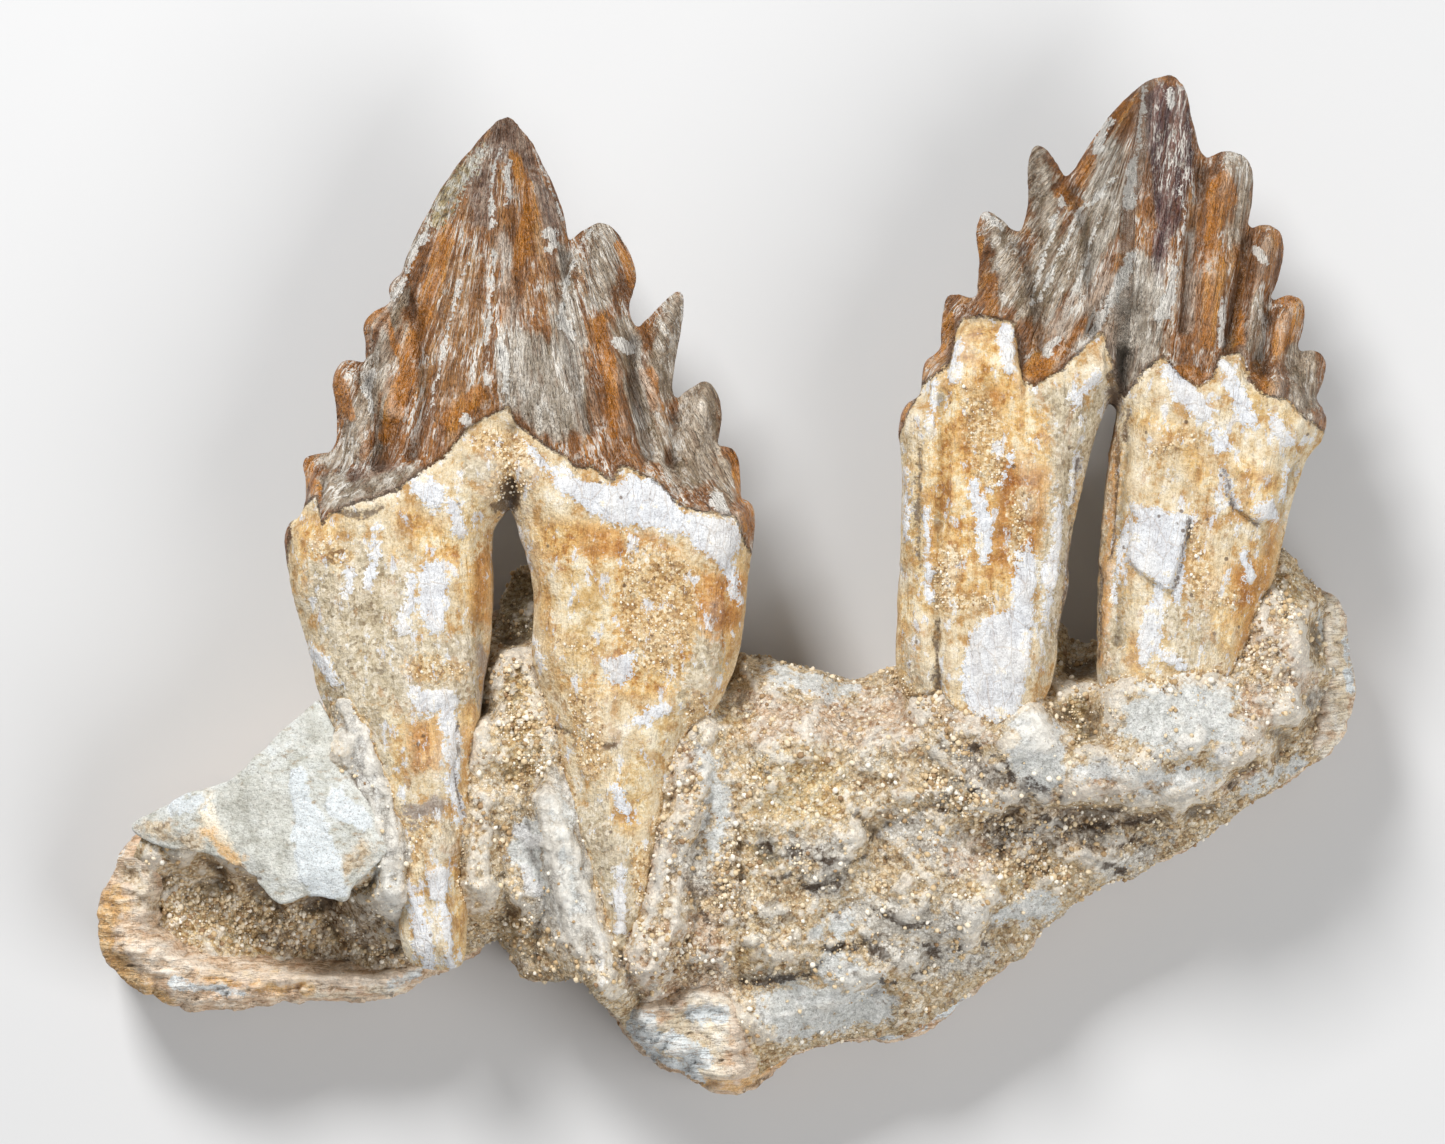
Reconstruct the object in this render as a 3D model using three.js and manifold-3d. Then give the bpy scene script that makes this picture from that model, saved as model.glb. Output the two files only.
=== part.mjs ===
// A piece of fossil jaw with two double-rooted cheek teeth, lying on its back.
// X runs along the jaw, Y from the broken lower edge to the tooth tips, Z from the back to the face.

import * as THREE from 'three';
import { ConvexHull } from 'three/addons/math/ConvexHull.js';
import { mergeVertices } from 'three/addons/utils/BufferGeometryUtils.js';
import Module from 'manifold-3d';

const wasm = await Module();
wasm.setup();

// Driving sizes in millimetres
const JAW_LENGTH = 253.8;
const TOOTH_MIDDLE_HEIGHT = 36;
const CROWN_HALF_THICKNESS = 12;
const ROOT_HALF_THICKNESS = 13;
const EDGE_HALF_THICKNESS = 0.7;
const CROWN_SLOPE_WIDTH = 26;
const ROOT_ROUNDING_WIDTH = 10;
const ROOT_TIP_SHARE = 0.6;
const CROWN_ROUNDING = 0.62;
const ENAMEL_BLEND_BELOW = 4;
const ENAMEL_BLEND_ABOVE = 6;
const GROOVE_DEPTH = 2.2;
const GROOVE_HALF_WIDTH = 4;
const GROOVE_FADE_WIDTH = 5;
const FLUTE_HEIGHT = 0.3;
const FLUTE_SPACING = 9;
const FLUTE_FADE_WIDTH = 6;
const JAW_WALL_THICKNESS = 16;
const JAW_EDGE_HEIGHT = 11;
const JAW_ROUNDING_WIDTH = 5;
const JAW_MARGIN_FOOT_SHARE = 0.4;
const JAW_MARGIN_CREST_SHARE = 0.35;
const BACK_BEVEL_WIDTH = 5;
const BACK_BEVEL_HEIGHT = 4;
const PLATE_THICKNESS = 5.5;
const PLATE_TIP_HEIGHT = 31;
const PLATE_ROOT_HEIGHT = 46;
const PLATE_EDGE_SHARE = 0.45;
const PLATE_ROUNDING_WIDTH = 4;
const PLATE_LUMP_HEIGHT = 0.5;
const PLATE_LUMP_SIZE = 14;
const MATRIX_BACK_HEIGHT = 9;
const MATRIX_EDGE_SHARE = 0.66;
const MATRIX_ROUNDING_WIDTH = 8;
const ROCK_ROUNDING = 0.6;
const MATRIX_LUMPS = [{ height: 1.3, size: 11 }, { height: 0.8, size: 5.5 }];
const SEAM_GAP = 0.45;

// Facet sizes in millimetres
const OUTLINE_STEP = 3;
const CROWN_FACET = 4.7;
const ROOT_BACK_FACET = 9;
const ROCK_FACET = 7.1;
const TOOTH_SHOULDER = 3;
const ROCK_SHOULDER = 4;
const BACK_SHOULDER = 5.6;
const ROCK_BACK_FACET = 16;
const JAW_FACET = 8.2;
const PLATE_FACET = 7.4;
const PLATE_BACK_FACET = 11;
const POINT_JITTER_SHARE = 0.3;
const EDGE_CLEARANCE_SHARE = 0.55;
const POINT_CLEARANCE_SHARE = 0.6;
const SHOULDER_CLEARANCE_SHARE = 0.9;
const CREST_CLEARANCE_SHARE = 0.5;

// Photograph columns and rows of the fossil's four ends, which scale every outline below
const PHOTO_LEFT = 92;
const PHOTO_RIGHT = 1361;
const PHOTO_TOP = 75;
const PHOTO_BOTTOM = 1099;
const MM_PER_PIXEL = JAW_LENGTH / (PHOTO_RIGHT - PHOTO_LEFT);

// Outlines are lists of strokes in photograph pixels. A stroke is a smooth curve through its points
// to the first point of the next stroke, and the corner between two strokes is a sharp notch.
const LEFT_TOOTH_OUTLINE = [
  // Main cusp, from its tip down the right flank
  [[510, 117], [531, 142], [546, 170], [558, 198], [565, 220]],
  // Denticles of the right flank, each from the notch above it over its tip
  [[568, 242], [583, 231], [602, 223], [618, 234], [631, 257], [636, 281], [629, 308]],
  [[637, 329], [652, 315], [668, 298], [680, 291], [684, 306], [678, 345], [672, 385]],
  [[676, 400], [690, 389], [706, 382], [718, 396], [721, 420]],
  [[717, 446], [731, 448], [739, 462], [741, 499]],
  // Right root, down to its broken end
  [[746, 500], [754, 509], [754, 535], [748, 580], [741, 640], [728, 684], [700, 735], [674, 790],
    [664, 850], [654, 905], [642, 950]],
  [[636, 960], [615, 968], [600, 962]],
  // Inner side of the right root, up to the top of the gap
  [[595, 950], [588, 890], [573, 825], [558, 760], [545, 700], [533, 655], [535, 610], [531, 570],
    [522, 540], [515, 517]],
  // Inner side of the left root, down to its broken end
  [[510, 508], [498, 522], [492, 538], [492, 600], [490, 645], [482, 700], [477, 765], [470, 835],
    [467, 900], [466, 950]],
  [[462, 966], [440, 970], [418, 966], [406, 955]],
  // Outer side of the left root
  [[400, 935], [397, 890], [384, 828], [364, 785], [343, 738], [321, 695], [308, 645], [295, 602],
    [288, 565], [286, 535]],
  // Denticles of the left flank, upwards
  [[292, 521], [300, 517], [306, 500], [306, 482], [303, 465], [308, 456], [320, 453]],
  [[331, 452], [337, 438], [336, 405], [333, 382], [341, 363], [356, 361]],
  [[366, 364], [366, 345], [364, 325], [374, 312], [386, 306]],
  [[391, 301], [389, 288], [395, 279]],
  // Main cusp, up the left flank
  [[401, 275], [412, 244], [434, 202], [452, 173], [481, 138], [498, 121]],
];

const RIGHT_TOOTH_OUTLINE = [
  // Main cusp, from its tip down the right flank
  [[1170, 75], [1184, 88], [1192, 120], [1200, 150]],
  [[1207, 158], [1225, 152], [1243, 156], [1252, 172], [1252, 200], [1248, 224]],
  [[1251, 229], [1264, 225], [1279, 232], [1283, 252], [1277, 280], [1270, 297]],
  [[1272, 301], [1289, 295], [1303, 303], [1303, 325], [1297, 347]],
  [[1300, 352], [1315, 351], [1325, 362], [1322, 382], [1315, 397]],
  [[1316, 402], [1325, 417], [1321, 440], [1307, 458], [1296, 485], [1288, 515], [1278, 560], [1258, 620],
    [1236, 680], [1205, 735]],
  // Buried end of the right root
  [[1190, 755], [1160, 768], [1125, 762]],
  [[1112, 745], [1101, 700], [1097, 650], [1097, 580], [1104, 500], [1112, 440], [1116, 410]],
  // Inner side of the left root
  [[1108, 403], [1099, 425], [1088, 460], [1079, 500], [1070, 545], [1067, 590], [1058, 630], [1052, 680],
    [1032, 720], [1014, 752]],
  // Buried end of the left root
  [[1004, 764], [975, 768], [945, 752]],
  [[925, 725], [903, 690], [896, 660], [899, 600], [902, 500], [901, 455], [899, 430]],
  // Denticles of the left flank, upwards
  [[902, 412], [908, 402], [918, 397]],
  [[921, 385], [925, 362], [936, 353]],
  [[940, 348], [943, 315], [947, 297], [958, 294], [969, 298]],
  [[977, 296], [979, 262], [976, 230], [984, 212], [998, 217], [1012, 230]],
  [[1021, 232], [1028, 205], [1028, 170], [1034, 147], [1045, 149], [1058, 166], [1066, 177]],
  // Main cusp, up the left flank
  [[1076, 168], [1091, 142], [1112, 113], [1130, 95], [1150, 80]],
];

// Crest lines of the cusps and denticles, from each tip into the crown
const LEFT_TOOTH_CRESTS = [
  [[509, 128], [500, 200], [495, 290], [500, 380]],
  [[603, 232], [606, 290], [618, 370], [640, 450]],
  [[677, 300], [660, 345], [650, 400]],
  [[706, 390], [700, 430], [690, 465]],
  [[731, 456], [728, 490]],
  [[309, 464], [325, 490]],
  [[343, 370], [350, 410], [362, 450]],
  [[372, 320], [382, 360], [395, 410]],
];
const RIGHT_TOOTH_CRESTS = [
  [[1168, 84], [1148, 160], [1135, 240], [1128, 330]],
  [[1230, 162], [1222, 230], [1210, 310]],
  [[1270, 236], [1255, 290], [1245, 340]],
  [[1291, 305], [1280, 350], [1272, 390]],
  [[1314, 360], [1300, 395]],
  [[1037, 156], [1045, 215], [1060, 280]],
  [[988, 221], [1000, 270], [1015, 320]],
  [[955, 302], [962, 340]],
  [[930, 363], [935, 400]],
];

// Grooves that run down the crowns from the notches, and the hollow above each pair of roots
const LEFT_TOOTH_GROOVES = [
  [[566, 250], [562, 320], [590, 430]],
  [[634, 335], [632, 390], [650, 455]],
  [[674, 405], [672, 460]],
  [[404, 282], [420, 330], [425, 400], [415, 455]],
  [[368, 368], [378, 420], [380, 465]],
  [[512, 400], [512, 500]],
];
const RIGHT_TOOTH_GROOVES = [
  [[1202, 165], [1185, 240], [1175, 330]],
  [[1247, 235], [1232, 300], [1225, 350]],
  [[1268, 305], [1258, 370]],
  [[1070, 182], [1090, 240], [1100, 330]],
  [[1020, 240], [1032, 300], [1040, 350]],
  [[1112, 330], [1112, 400]],
];

// Height in photograph pixels of the line where enamel gives way to root, left to right
const LEFT_ENAMEL_LINE = [[290, 510], [340, 480], [410, 475], [510, 412], [570, 465], [650, 478], [750, 520]];
const RIGHT_ENAMEL_LINE = [[900, 440], [930, 370], [970, 318], [1030, 385], [1110, 340], [1200, 385],
  [1240, 355], [1325, 430]];

// Rows in the photograph of the roots' ends
const LEFT_ROOT_END = 965;
const RIGHT_ROOT_END = 765;

// Smooth remnant of the jaw's outer wall, left of the left tooth
const PLATE_OUTLINE = [
  [[321, 697], [283, 732], [236, 776], [200, 790], [158, 809], [130, 826]],
  [[136, 836], [160, 846], [210, 853], [250, 872], [282, 901], [318, 892], [346, 900]],
  [[354, 885], [388, 850], [383, 826], [362, 782], [343, 738]],
];
// The plate rises from its broken tip to the root that it leans on
const PLATE_TIP = [130, 826];
const PLATE_ROOT = [360, 780];

// The jaw bone wall at the back of the block
const JAW_OUTLINE = [
  [[326, 702], [300, 726], [266, 754], [236, 782], [200, 795], [158, 813], [133, 832]],
  [[121, 848], [107, 875], [92, 913], [95, 950], [110, 974], [134, 997]],
  [[150, 999], [180, 1013], [235, 1013], [300, 1004], [360, 1006], [400, 998], [418, 984]],
  [[440, 978], [470, 960], [486, 943], [500, 941], [510, 968], [524, 984], [556, 985], [578, 978],
    [598, 1003], [622, 1034], [645, 1060], [668, 1074], [690, 1081]],
  [[703, 1093], [727, 1099], [752, 1095], [780, 1075], [803, 1057], [840, 1047], [880, 1045],
    [912, 1045], [950, 1021], [990, 987], [1033, 959]],
  [[1034, 952], [1052, 928], [1076, 909], [1116, 886], [1150, 872], [1200, 850], [1245, 815],
    [1305, 777], [1345, 745], [1357, 712], [1361, 692], [1354, 650], [1350, 614], [1338, 596], [1312, 584],
    [1300, 566], [1286, 552]],
  [[1280, 556], [1232, 612], [1150, 655], [1060, 668], [980, 674], [900, 678], [855, 690], [800, 678],
    [745, 672]],
  // Behind the roots of the left tooth
  [[734, 694], [722, 668], [723, 630], [720, 600], [698, 580], [640, 572], [580, 570], [530, 572], [508, 590],
    [492, 622], [474, 602], [430, 588], [380, 584], [335, 592], [315, 618], [322, 660]],
];
// Raised margins of the jaw bone: a crest line, its half width and its height above the floor
const JAW_MARGINS = [
  { line: [[128, 868], [112, 910], [112, 950], [150, 985], [220, 996], [300, 990], [380, 990], [415, 975]],
    halfWidth: 7.5, height: 30 },
  { line: [[660, 1040], [700, 1062], [745, 1078]], halfWidth: 13, height: 33 },
  { line: [[830, 1038], [905, 1030], [975, 985]], halfWidth: 6, height: 22 },
  { line: [[1338, 615], [1346, 690], [1330, 745]], halfWidth: 6, height: 26 },
];

// The sandy matrix that fills the sockets and covers the face of the bone
const MATRIX_OUTLINE = [
  [[332, 708], [300, 738], [262, 768], [225, 795], [180, 812], [142, 835]],
  [[132, 858], [112, 900], [116, 940], [150, 975], [220, 985], [300, 980], [380, 980], [425, 968]],
  [[470, 955], [486, 942], [500, 940], [512, 966], [526, 981], [556, 982], [580, 978], [600, 1000],
    [640, 1045], [690, 1068], [735, 1085], [760, 1078], [800, 1054], [860, 1042], [905, 1038], [950, 1012],
    [990, 980], [1028, 958]],
  [[1033, 950], [1050, 926], [1076, 906], [1116, 882], [1134, 880], [1165, 862], [1200, 846], [1245, 811],
    [1300, 774], [1334, 742], [1345, 700], [1338, 650], [1330, 600], [1311, 582], [1300, 565]],
  [[1282, 545], [1260, 574], [1210, 600], [1150, 630], [1098, 646], [1076, 648], [1060, 622], [1000, 640],
    [940, 655]],
  [[897, 669], [855, 683], [800, 668], [760, 660], [737, 655]],
  // Behind the roots of the left tooth
  [[727, 688], [726, 660], [727, 625], [724, 594], [700, 573], [640, 565], [580, 562], [525, 564], [508, 580],
    [499, 604], [491, 630], [472, 596], [430, 580], [380, 576], [330, 586], [310, 612], [317, 652],
    [327, 690]],
];

// Heights of the matrix face above the floor: column, row, height
const MATRIX_LEVELS = [
  // Under the plate, and the open canal below it
  [145, 828, 35], [180, 815, 40], [215, 800, 44], [262, 775, 47], [305, 740, 49], [330, 712, 49],
  [180, 835, 38], [230, 840, 41], [290, 850, 44], [330, 800, 45], [360, 860, 45], [400, 850, 44],
  [150, 880, 24], [200, 895, 20], [260, 920, 18], [330, 930, 20], [385, 935, 25], [300, 960, 21],
  [160, 940, 21], [405, 960, 30],
  // Behind and between the roots of the left tooth
  [516, 585, 20], [516, 625, 25], [450, 675, 30], [590, 670, 30], [515, 668, 39], [515, 730, 42],
  [330, 640, 24], [380, 600, 22], [450, 600, 21], [590, 590, 22], [650, 590, 23], [700, 605, 24],
  [712, 655, 28],
  [540, 800, 41], [535, 890, 40], [500, 925, 34], [550, 960, 34], [600, 985, 33],
  // From the left tooth to the long seam
  [650, 1010, 34], [700, 1045, 30], [700, 760, 43], [690, 860, 41], [695, 950, 39], [720, 700, 40],
  // The saddle between the teeth
  [748, 675, 36], [800, 685, 38], [860, 698, 37], [890, 690, 38],
  [790, 750, 45], [800, 840, 43], [770, 930, 41], [770, 1030, 33], [845, 830, 44], [888, 845, 38],
  [900, 760, 43], [920, 880, 41], [870, 960, 36], [880, 1020, 27], [950, 985, 28], [970, 900, 39],
  [1005, 935, 29],
  // Cement around the roots of the right tooth, and the recess below it
  [930, 700, 44], [965, 740, 46], [1030, 735, 48], [1085, 765, 47], [1130, 712, 51], [1180, 745, 51],
  [1230, 745, 49], [1000, 790, 46], [1180, 785, 45],
  [1000, 835, 34], [1090, 832, 33], [1050, 880, 30], [1150, 846, 29], [1200, 825, 31], [1255, 785, 34],
  // Behind the gap of the right tooth, and the right end
  [1080, 655, 24], [1080, 705, 37], [1000, 650, 23], [1190, 625, 25], [1275, 700, 44], [1290, 640, 45],
  [1262, 600, 42], [1290, 575, 38], [1325, 640, 32], [1330, 715, 29], [1300, 755, 30],
];
const LEVEL_SHARPNESS = 4;

// Loose flakes of cement that stand proud of the right root of the right tooth
const ROOT_FLAKES = [
  { centre: [1153, 545], reach: 6.5, height: 1.6 },
  { centre: [1248, 497], reach: 6, height: 1.6 },
  { centre: [985, 660], reach: 8, height: 1.4 },
];

function toPart([column, row]) {
  const x = (column - (PHOTO_LEFT + PHOTO_RIGHT) / 2) * MM_PER_PIXEL;
  const y = ((PHOTO_TOP + PHOTO_BOTTOM) / 2 - row) * MM_PER_PIXEL;
  return new THREE.Vector2(x, y);
}

// A closed counterclockwise ring of points along the strokes of an outline
function ringFrom(strokes, step) {
  const ring = [];
  strokes.forEach((stroke, index) => {
    const next = strokes[(index + 1) % strokes.length];
    const curve = new THREE.SplineCurve([...stroke, next[0]].map(toPart));
    const count = Math.max(1, Math.round(curve.getLength() / step));
    ring.push(...curve.getSpacedPoints(count).slice(0, -1));
  });
  return THREE.ShapeUtils.isClockWise(ring) ? ring.reverse() : ring;
}

function sampleLine(line, step) {
  const curve = new THREE.SplineCurve(line.map(toPart));
  return curve.getSpacedPoints(Math.max(1, Math.round(curve.getLength() / step)));
}

function isInside(point, ring) {
  let inside = false;
  ring.forEach((a, index) => {
    const b = ring[(index + 1) % ring.length];
    const crosses = a.y > point.y !== b.y > point.y;
    if (crosses && point.x < ((b.x - a.x) * (point.y - a.y)) / (b.y - a.y) + a.x) inside = !inside;
  });
  return inside;
}

function distanceToSegment(point, a, b) {
  const along = b.clone().sub(a);
  const share = point.clone().sub(a).dot(along) / Math.max(along.lengthSq(), 1e-9);
  return point.distanceTo(a.clone().addScaledVector(along, THREE.MathUtils.clamp(share, 0, 1)));
}

function distanceToRing(point, ring) {
  const distances = ring.map((a, index) => distanceToSegment(point, a, ring[(index + 1) % ring.length]));
  return Math.min(...distances);
}

function distanceToLine(point, line) {
  const corners = line.map(toPart);
  const distances = corners.slice(1).map((b, index) => distanceToSegment(point, corners[index], b));
  return Math.min(...distances);
}

// Repeatable scatter between 0 and 1 for a pair of whole numbers
function scatter(i, j) {
  const wave = Math.sin(i * 127.1 + j * 311.7) * 43758.5453;
  return wave - Math.floor(wave);
}

// Smooth lumps between -1 and 1, one lump to each size
function lumps(point, size) {
  const x = point.x / size + 100;
  const y = point.y / size + 100;
  const [i, j] = [Math.floor(x), Math.floor(y)];
  const [u, v] = [THREE.MathUtils.smoothstep(x - i, 0, 1), THREE.MathUtils.smoothstep(y - j, 0, 1)];
  const lower = THREE.MathUtils.lerp(scatter(i, j), scatter(i + 1, j), u);
  const upper = THREE.MathUtils.lerp(scatter(i, j + 1), scatter(i + 1, j + 1), u);
  return 2 * THREE.MathUtils.lerp(lower, upper, v) - 1;
}

// A shoulder line inside a ring, which keeps the rounded side of a piece even
function shoulderPoints(ring, inset) {
  return ring.flatMap((point, index) => {
    const before = ring[(index + ring.length - 1) % ring.length];
    const after = ring[(index + 1) % ring.length];
    const along = after.clone().sub(before).normalize();
    const inner = new THREE.Vector2(point.x - along.y * inset, point.y + along.x * inset);
    const fits = index % 2 === 0 && isInside(inner, ring)
      && distanceToRing(inner, ring) > SHOULDER_CLEARANCE_SHARE * inset;
    return fits ? [inner] : [];
  });
}

// Loosely packed points inside a ring, clear of its edge and of the points already set
function fillPoints(ring, facet, set) {
  const box = new THREE.Box2().setFromPoints(ring);
  const rowStep = facet * Math.sqrt(0.75);
  const filled = [];
  for (let row = 0; box.min.y + row * rowStep < box.max.y; row += 1) {
    for (let column = 0; box.min.x + column * facet < box.max.x; column += 1) {
      const shiftX = (row % 2) / 2 + POINT_JITTER_SHARE * (scatter(column, row) - 0.5);
      const shiftY = POINT_JITTER_SHARE * (scatter(row, column + 50) - 0.5);
      const point = new THREE.Vector2(
        box.min.x + (column + shiftX) * facet,
        box.min.y + (row + shiftY) * rowStep,
      );
      const clear = isInside(point, ring)
        && distanceToRing(point, ring) > EDGE_CLEARANCE_SHARE * facet
        && set.every((other) => other.distanceTo(point) > POINT_CLEARANCE_SHARE * facet);
      if (clear) filled.push(point);
    }
  }
  return filled;
}

// Delaunay triangles of flat points: the lower faces of their hull once lifted onto a paraboloid
function triangulate(points) {
  const lifted = points.map((point, index) => {
    const corner = new THREE.Vector3(point.x, point.y, point.lengthSq());
    corner.index = index;
    return corner;
  });
  const lowerFaces = new ConvexHull().setFromPoints(lifted).faces.filter((face) => face.normal.z < 0);
  return lowerFaces.map((face) => {
    const { edge } = face;
    return [edge.next.next, edge.next, edge].map((side) => side.head().point.index);
  });
}

function edgeKey(a, b) {
  return a < b ? `${a}_${b}` : `${b}_${a}`;
}

// Triangles inside a ring for a face and a back that share it, with the ring's long edges halved
// until both sets of triangles follow it
function triangulateSides(ring, innerSets) {
  for (;;) {
    const sides = innerSets.map((inner) => {
      const points = [...ring, ...inner];
      return { points, triangles: triangulate(points) };
    });
    const missing = ring.map((_, index) => index).filter((index) => sides.some(({ triangles }) => {
      const wanted = edgeKey(index, (index + 1) % ring.length);
      return !triangles.some(([a, b, c]) => [edgeKey(a, b), edgeKey(b, c), edgeKey(c, a)].includes(wanted));
    }));
    if (missing.length === 0) {
      sides.forEach((side) => {
        side.triangles = side.triangles.filter((triangle) => {
          const centre = new THREE.Vector2();
          triangle.forEach((index) => centre.addScaledVector(side.points[index], 1 / 3));
          return isInside(centre, ring);
        });
      });
      return sides;
    }
    missing.reverse().forEach((index) => {
      const middle = ring[index].clone().lerp(ring[(index + 1) % ring.length], 0.5);
      ring.splice(index + 1, 0, middle);
    });
  }
}

// A closed solid over an outline, between a face height and a back height
function solidFrom({
  strokes, crests = [], shoulder, backShoulder, faceFacet, backFacet, faceHeight, backHeight,
}) {
  const ring = ringFrom(strokes, OUTLINE_STEP);
  const crestPoints = crests.flatMap((crest) => sampleLine(crest, faceFacet));
  const shoulderLine = shoulderPoints(ring, shoulder).filter((point) => (
    crestPoints.every((crestPoint) => crestPoint.distanceTo(point) > CREST_CLEARANCE_SHARE * shoulder)));
  const setPoints = [...crestPoints, ...shoulderLine];
  const backPoints = backShoulder ? shoulderPoints(ring, backShoulder) : [];
  const innerSets = [
    [...setPoints, ...fillPoints(ring, faceFacet, setPoints)],
    [...backPoints, ...fillPoints(ring, backFacet, backPoints)],
  ];
  const [face, back] = triangulateSides(ring, innerSets);
  const positions = [];
  [[face, faceHeight], [back, backHeight]].forEach(([side, height]) => {
    side.points.forEach((point, index) => {
      const depth = index < ring.length ? 0 : distanceToRing(point, ring);
      positions.push(point.x, point.y, height(point, depth));
    });
  });
  const first = face.points.length;
  const triangles = [
    ...face.triangles.flat(),
    ...back.triangles.flatMap(([a, b, c]) => [first + a, first + c, first + b]),
  ];
  ring.forEach((_, index) => {
    const next = (index + 1) % ring.length;
    triangles.push(first + index, first + next, next);
    triangles.push(first + index, next, index);
  });
  const geometry = new THREE.BufferGeometry();
  geometry.setAttribute('position', new THREE.Float32BufferAttribute(positions, 3));
  geometry.setIndex(triangles);
  return geometry;
}

// The same solid with every corner moved outwards, for cutting the seat that holds it
function grownBy(geometry, gap) {
  const grown = geometry.clone();
  grown.computeVertexNormals();
  const { position, normal } = grown.attributes;
  for (let index = 0; index < position.count; index += 1) {
    const corner = new THREE.Vector3().fromBufferAttribute(position, index);
    corner.addScaledVector(new THREE.Vector3().fromBufferAttribute(normal, index), gap);
    position.setXYZ(index, corner.x, corner.y, corner.z);
  }
  return grown;
}

function toManifold(geometry) {
  const bare = new THREE.BufferGeometry();
  bare.setAttribute('position', geometry.attributes.position);
  bare.setIndex(geometry.index);
  const merged = mergeVertices(bare);
  return new wasm.Manifold(new wasm.Mesh({
    numProp: 3,
    vertProperties: Float32Array.from(merged.attributes.position.array),
    triVerts: Uint32Array.from(merged.index.array),
  }));
}

// Cuts seats out of a solid and keeps its largest piece. The tighter cuts clear the creases that are
// too narrow for the first.
function cutSeats(geometry, held) {
  const cuts = held.flatMap((piece) => [SEAM_GAP, SEAM_GAP / 2, 0].map((gap) => grownBy(piece, gap)));
  const cut = cuts.reduce((solid, cutter) => solid.subtract(toManifold(cutter)), toManifold(geometry));
  const largest = cut.decompose().sort((a, b) => b.volume() - a.volume())[0];
  const mesh = largest.getMesh();
  const result = new THREE.BufferGeometry();
  result.setAttribute('position', new THREE.Float32BufferAttribute(mesh.vertProperties, 3));
  result.setIndex([...mesh.triVerts]);
  return result;
}

// Teeth: thin at the outline, thick in the middle, rounder in the roots than in the crown
function enamelHeight(point, enamelLine) {
  const line = enamelLine.map(toPart);
  const next = line.findIndex((corner) => corner.x > point.x);
  if (next <= 0) return line.at(next).y;
  const share = (point.x - line[next - 1].x) / (line[next].x - line[next - 1].x);
  return THREE.MathUtils.lerp(line[next - 1].y, line[next].y, share);
}

function toothHalfThickness(point, depth, enamelLine, rootEnd) {
  const crown = CROWN_HALF_THICKNESS * Math.min(depth / CROWN_SLOPE_WIDTH, 1) ** CROWN_ROUNDING;
  const tuck = 1 - Math.min(depth / ROOT_ROUNDING_WIDTH, 1);
  const enamelEnd = enamelHeight(point, enamelLine);
  const down = THREE.MathUtils.clamp((enamelEnd - point.y) / (enamelEnd - toPart([0, rootEnd]).y), 0, 1);
  const taper = THREE.MathUtils.lerp(1, ROOT_TIP_SHARE, down ** 2);
  const root = ROOT_HALF_THICKNESS * taper * Math.sqrt(1 - tuck * tuck);
  const share = THREE.MathUtils.smoothstep(point.y, enamelEnd - ENAMEL_BLEND_BELOW,
    enamelEnd + ENAMEL_BLEND_ABOVE);
  return EDGE_HALF_THICKNESS + THREE.MathUtils.lerp(root, crown, share);
}

function toothGeometry({ strokes, crests, grooves, enamelLine, rootEnd, flakes }) {
  const relief = (point, depth) => {
    const aside = Math.min(...grooves.map((line) => distanceToLine(point, line)));
    const sunk = GROOVE_DEPTH * Math.max(0, 1 - aside / GROOVE_HALF_WIDTH)
      * Math.min(depth / GROOVE_FADE_WIDTH, 1);
    const fluted = FLUTE_HEIGHT * Math.sin((2 * Math.PI * point.x) / FLUTE_SPACING)
      * Math.min(depth / FLUTE_FADE_WIDTH, 1);
    const raised = flakes.reduce((sum, { centre, reach, height }) => {
      return sum + height * (toPart(centre).distanceTo(point) < reach ? 1 : 0);
    }, 0);
    return raised + fluted - sunk;
  };
  return solidFrom({
    strokes,
    crests,
    shoulder: TOOTH_SHOULDER,
    faceFacet: CROWN_FACET,
    backFacet: ROOT_BACK_FACET,
    faceHeight: (point, depth) => TOOTH_MIDDLE_HEIGHT
      + toothHalfThickness(point, depth, enamelLine, rootEnd) + (depth > 0 ? relief(point, depth) : 0),
    backHeight: (point, depth) => TOOTH_MIDDLE_HEIGHT - toothHalfThickness(point, depth, enamelLine, rootEnd),
  });
}

// Jaw bone: a flat back with a bevelled rim, and raised margins on its face
function jawGeometry() {
  const faceHeight = (point, depth) => {
    const rise = Math.min(depth / JAW_ROUNDING_WIDTH, 1) ** ROCK_ROUNDING;
    const plain = THREE.MathUtils.lerp(JAW_EDGE_HEIGHT, JAW_WALL_THICKNESS, rise);
    return JAW_MARGINS.reduce((height, margin) => {
      const crest = JAW_MARGIN_CREST_SHARE * margin.halfWidth;
      const aside = distanceToLine(point, margin.line);
      const near = 1 - THREE.MathUtils.smoothstep(aside, crest, margin.halfWidth);
      const foot = THREE.MathUtils.lerp(JAW_EDGE_HEIGHT, margin.height, JAW_MARGIN_FOOT_SHARE);
      const rounded = THREE.MathUtils.lerp(foot, margin.height, rise);
      return Math.max(height, THREE.MathUtils.lerp(plain, rounded, near));
    }, plain);
  };
  return solidFrom({
    strokes: JAW_OUTLINE,
    crests: JAW_MARGINS.map((margin) => margin.line),
    shoulder: ROCK_SHOULDER,
    backShoulder: BACK_SHOULDER,
    faceFacet: JAW_FACET,
    backFacet: ROCK_BACK_FACET,
    faceHeight,
    backHeight: (point, depth) => BACK_BEVEL_HEIGHT * Math.max(0, 1 - depth / BACK_BEVEL_WIDTH),
  });
}

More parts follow.
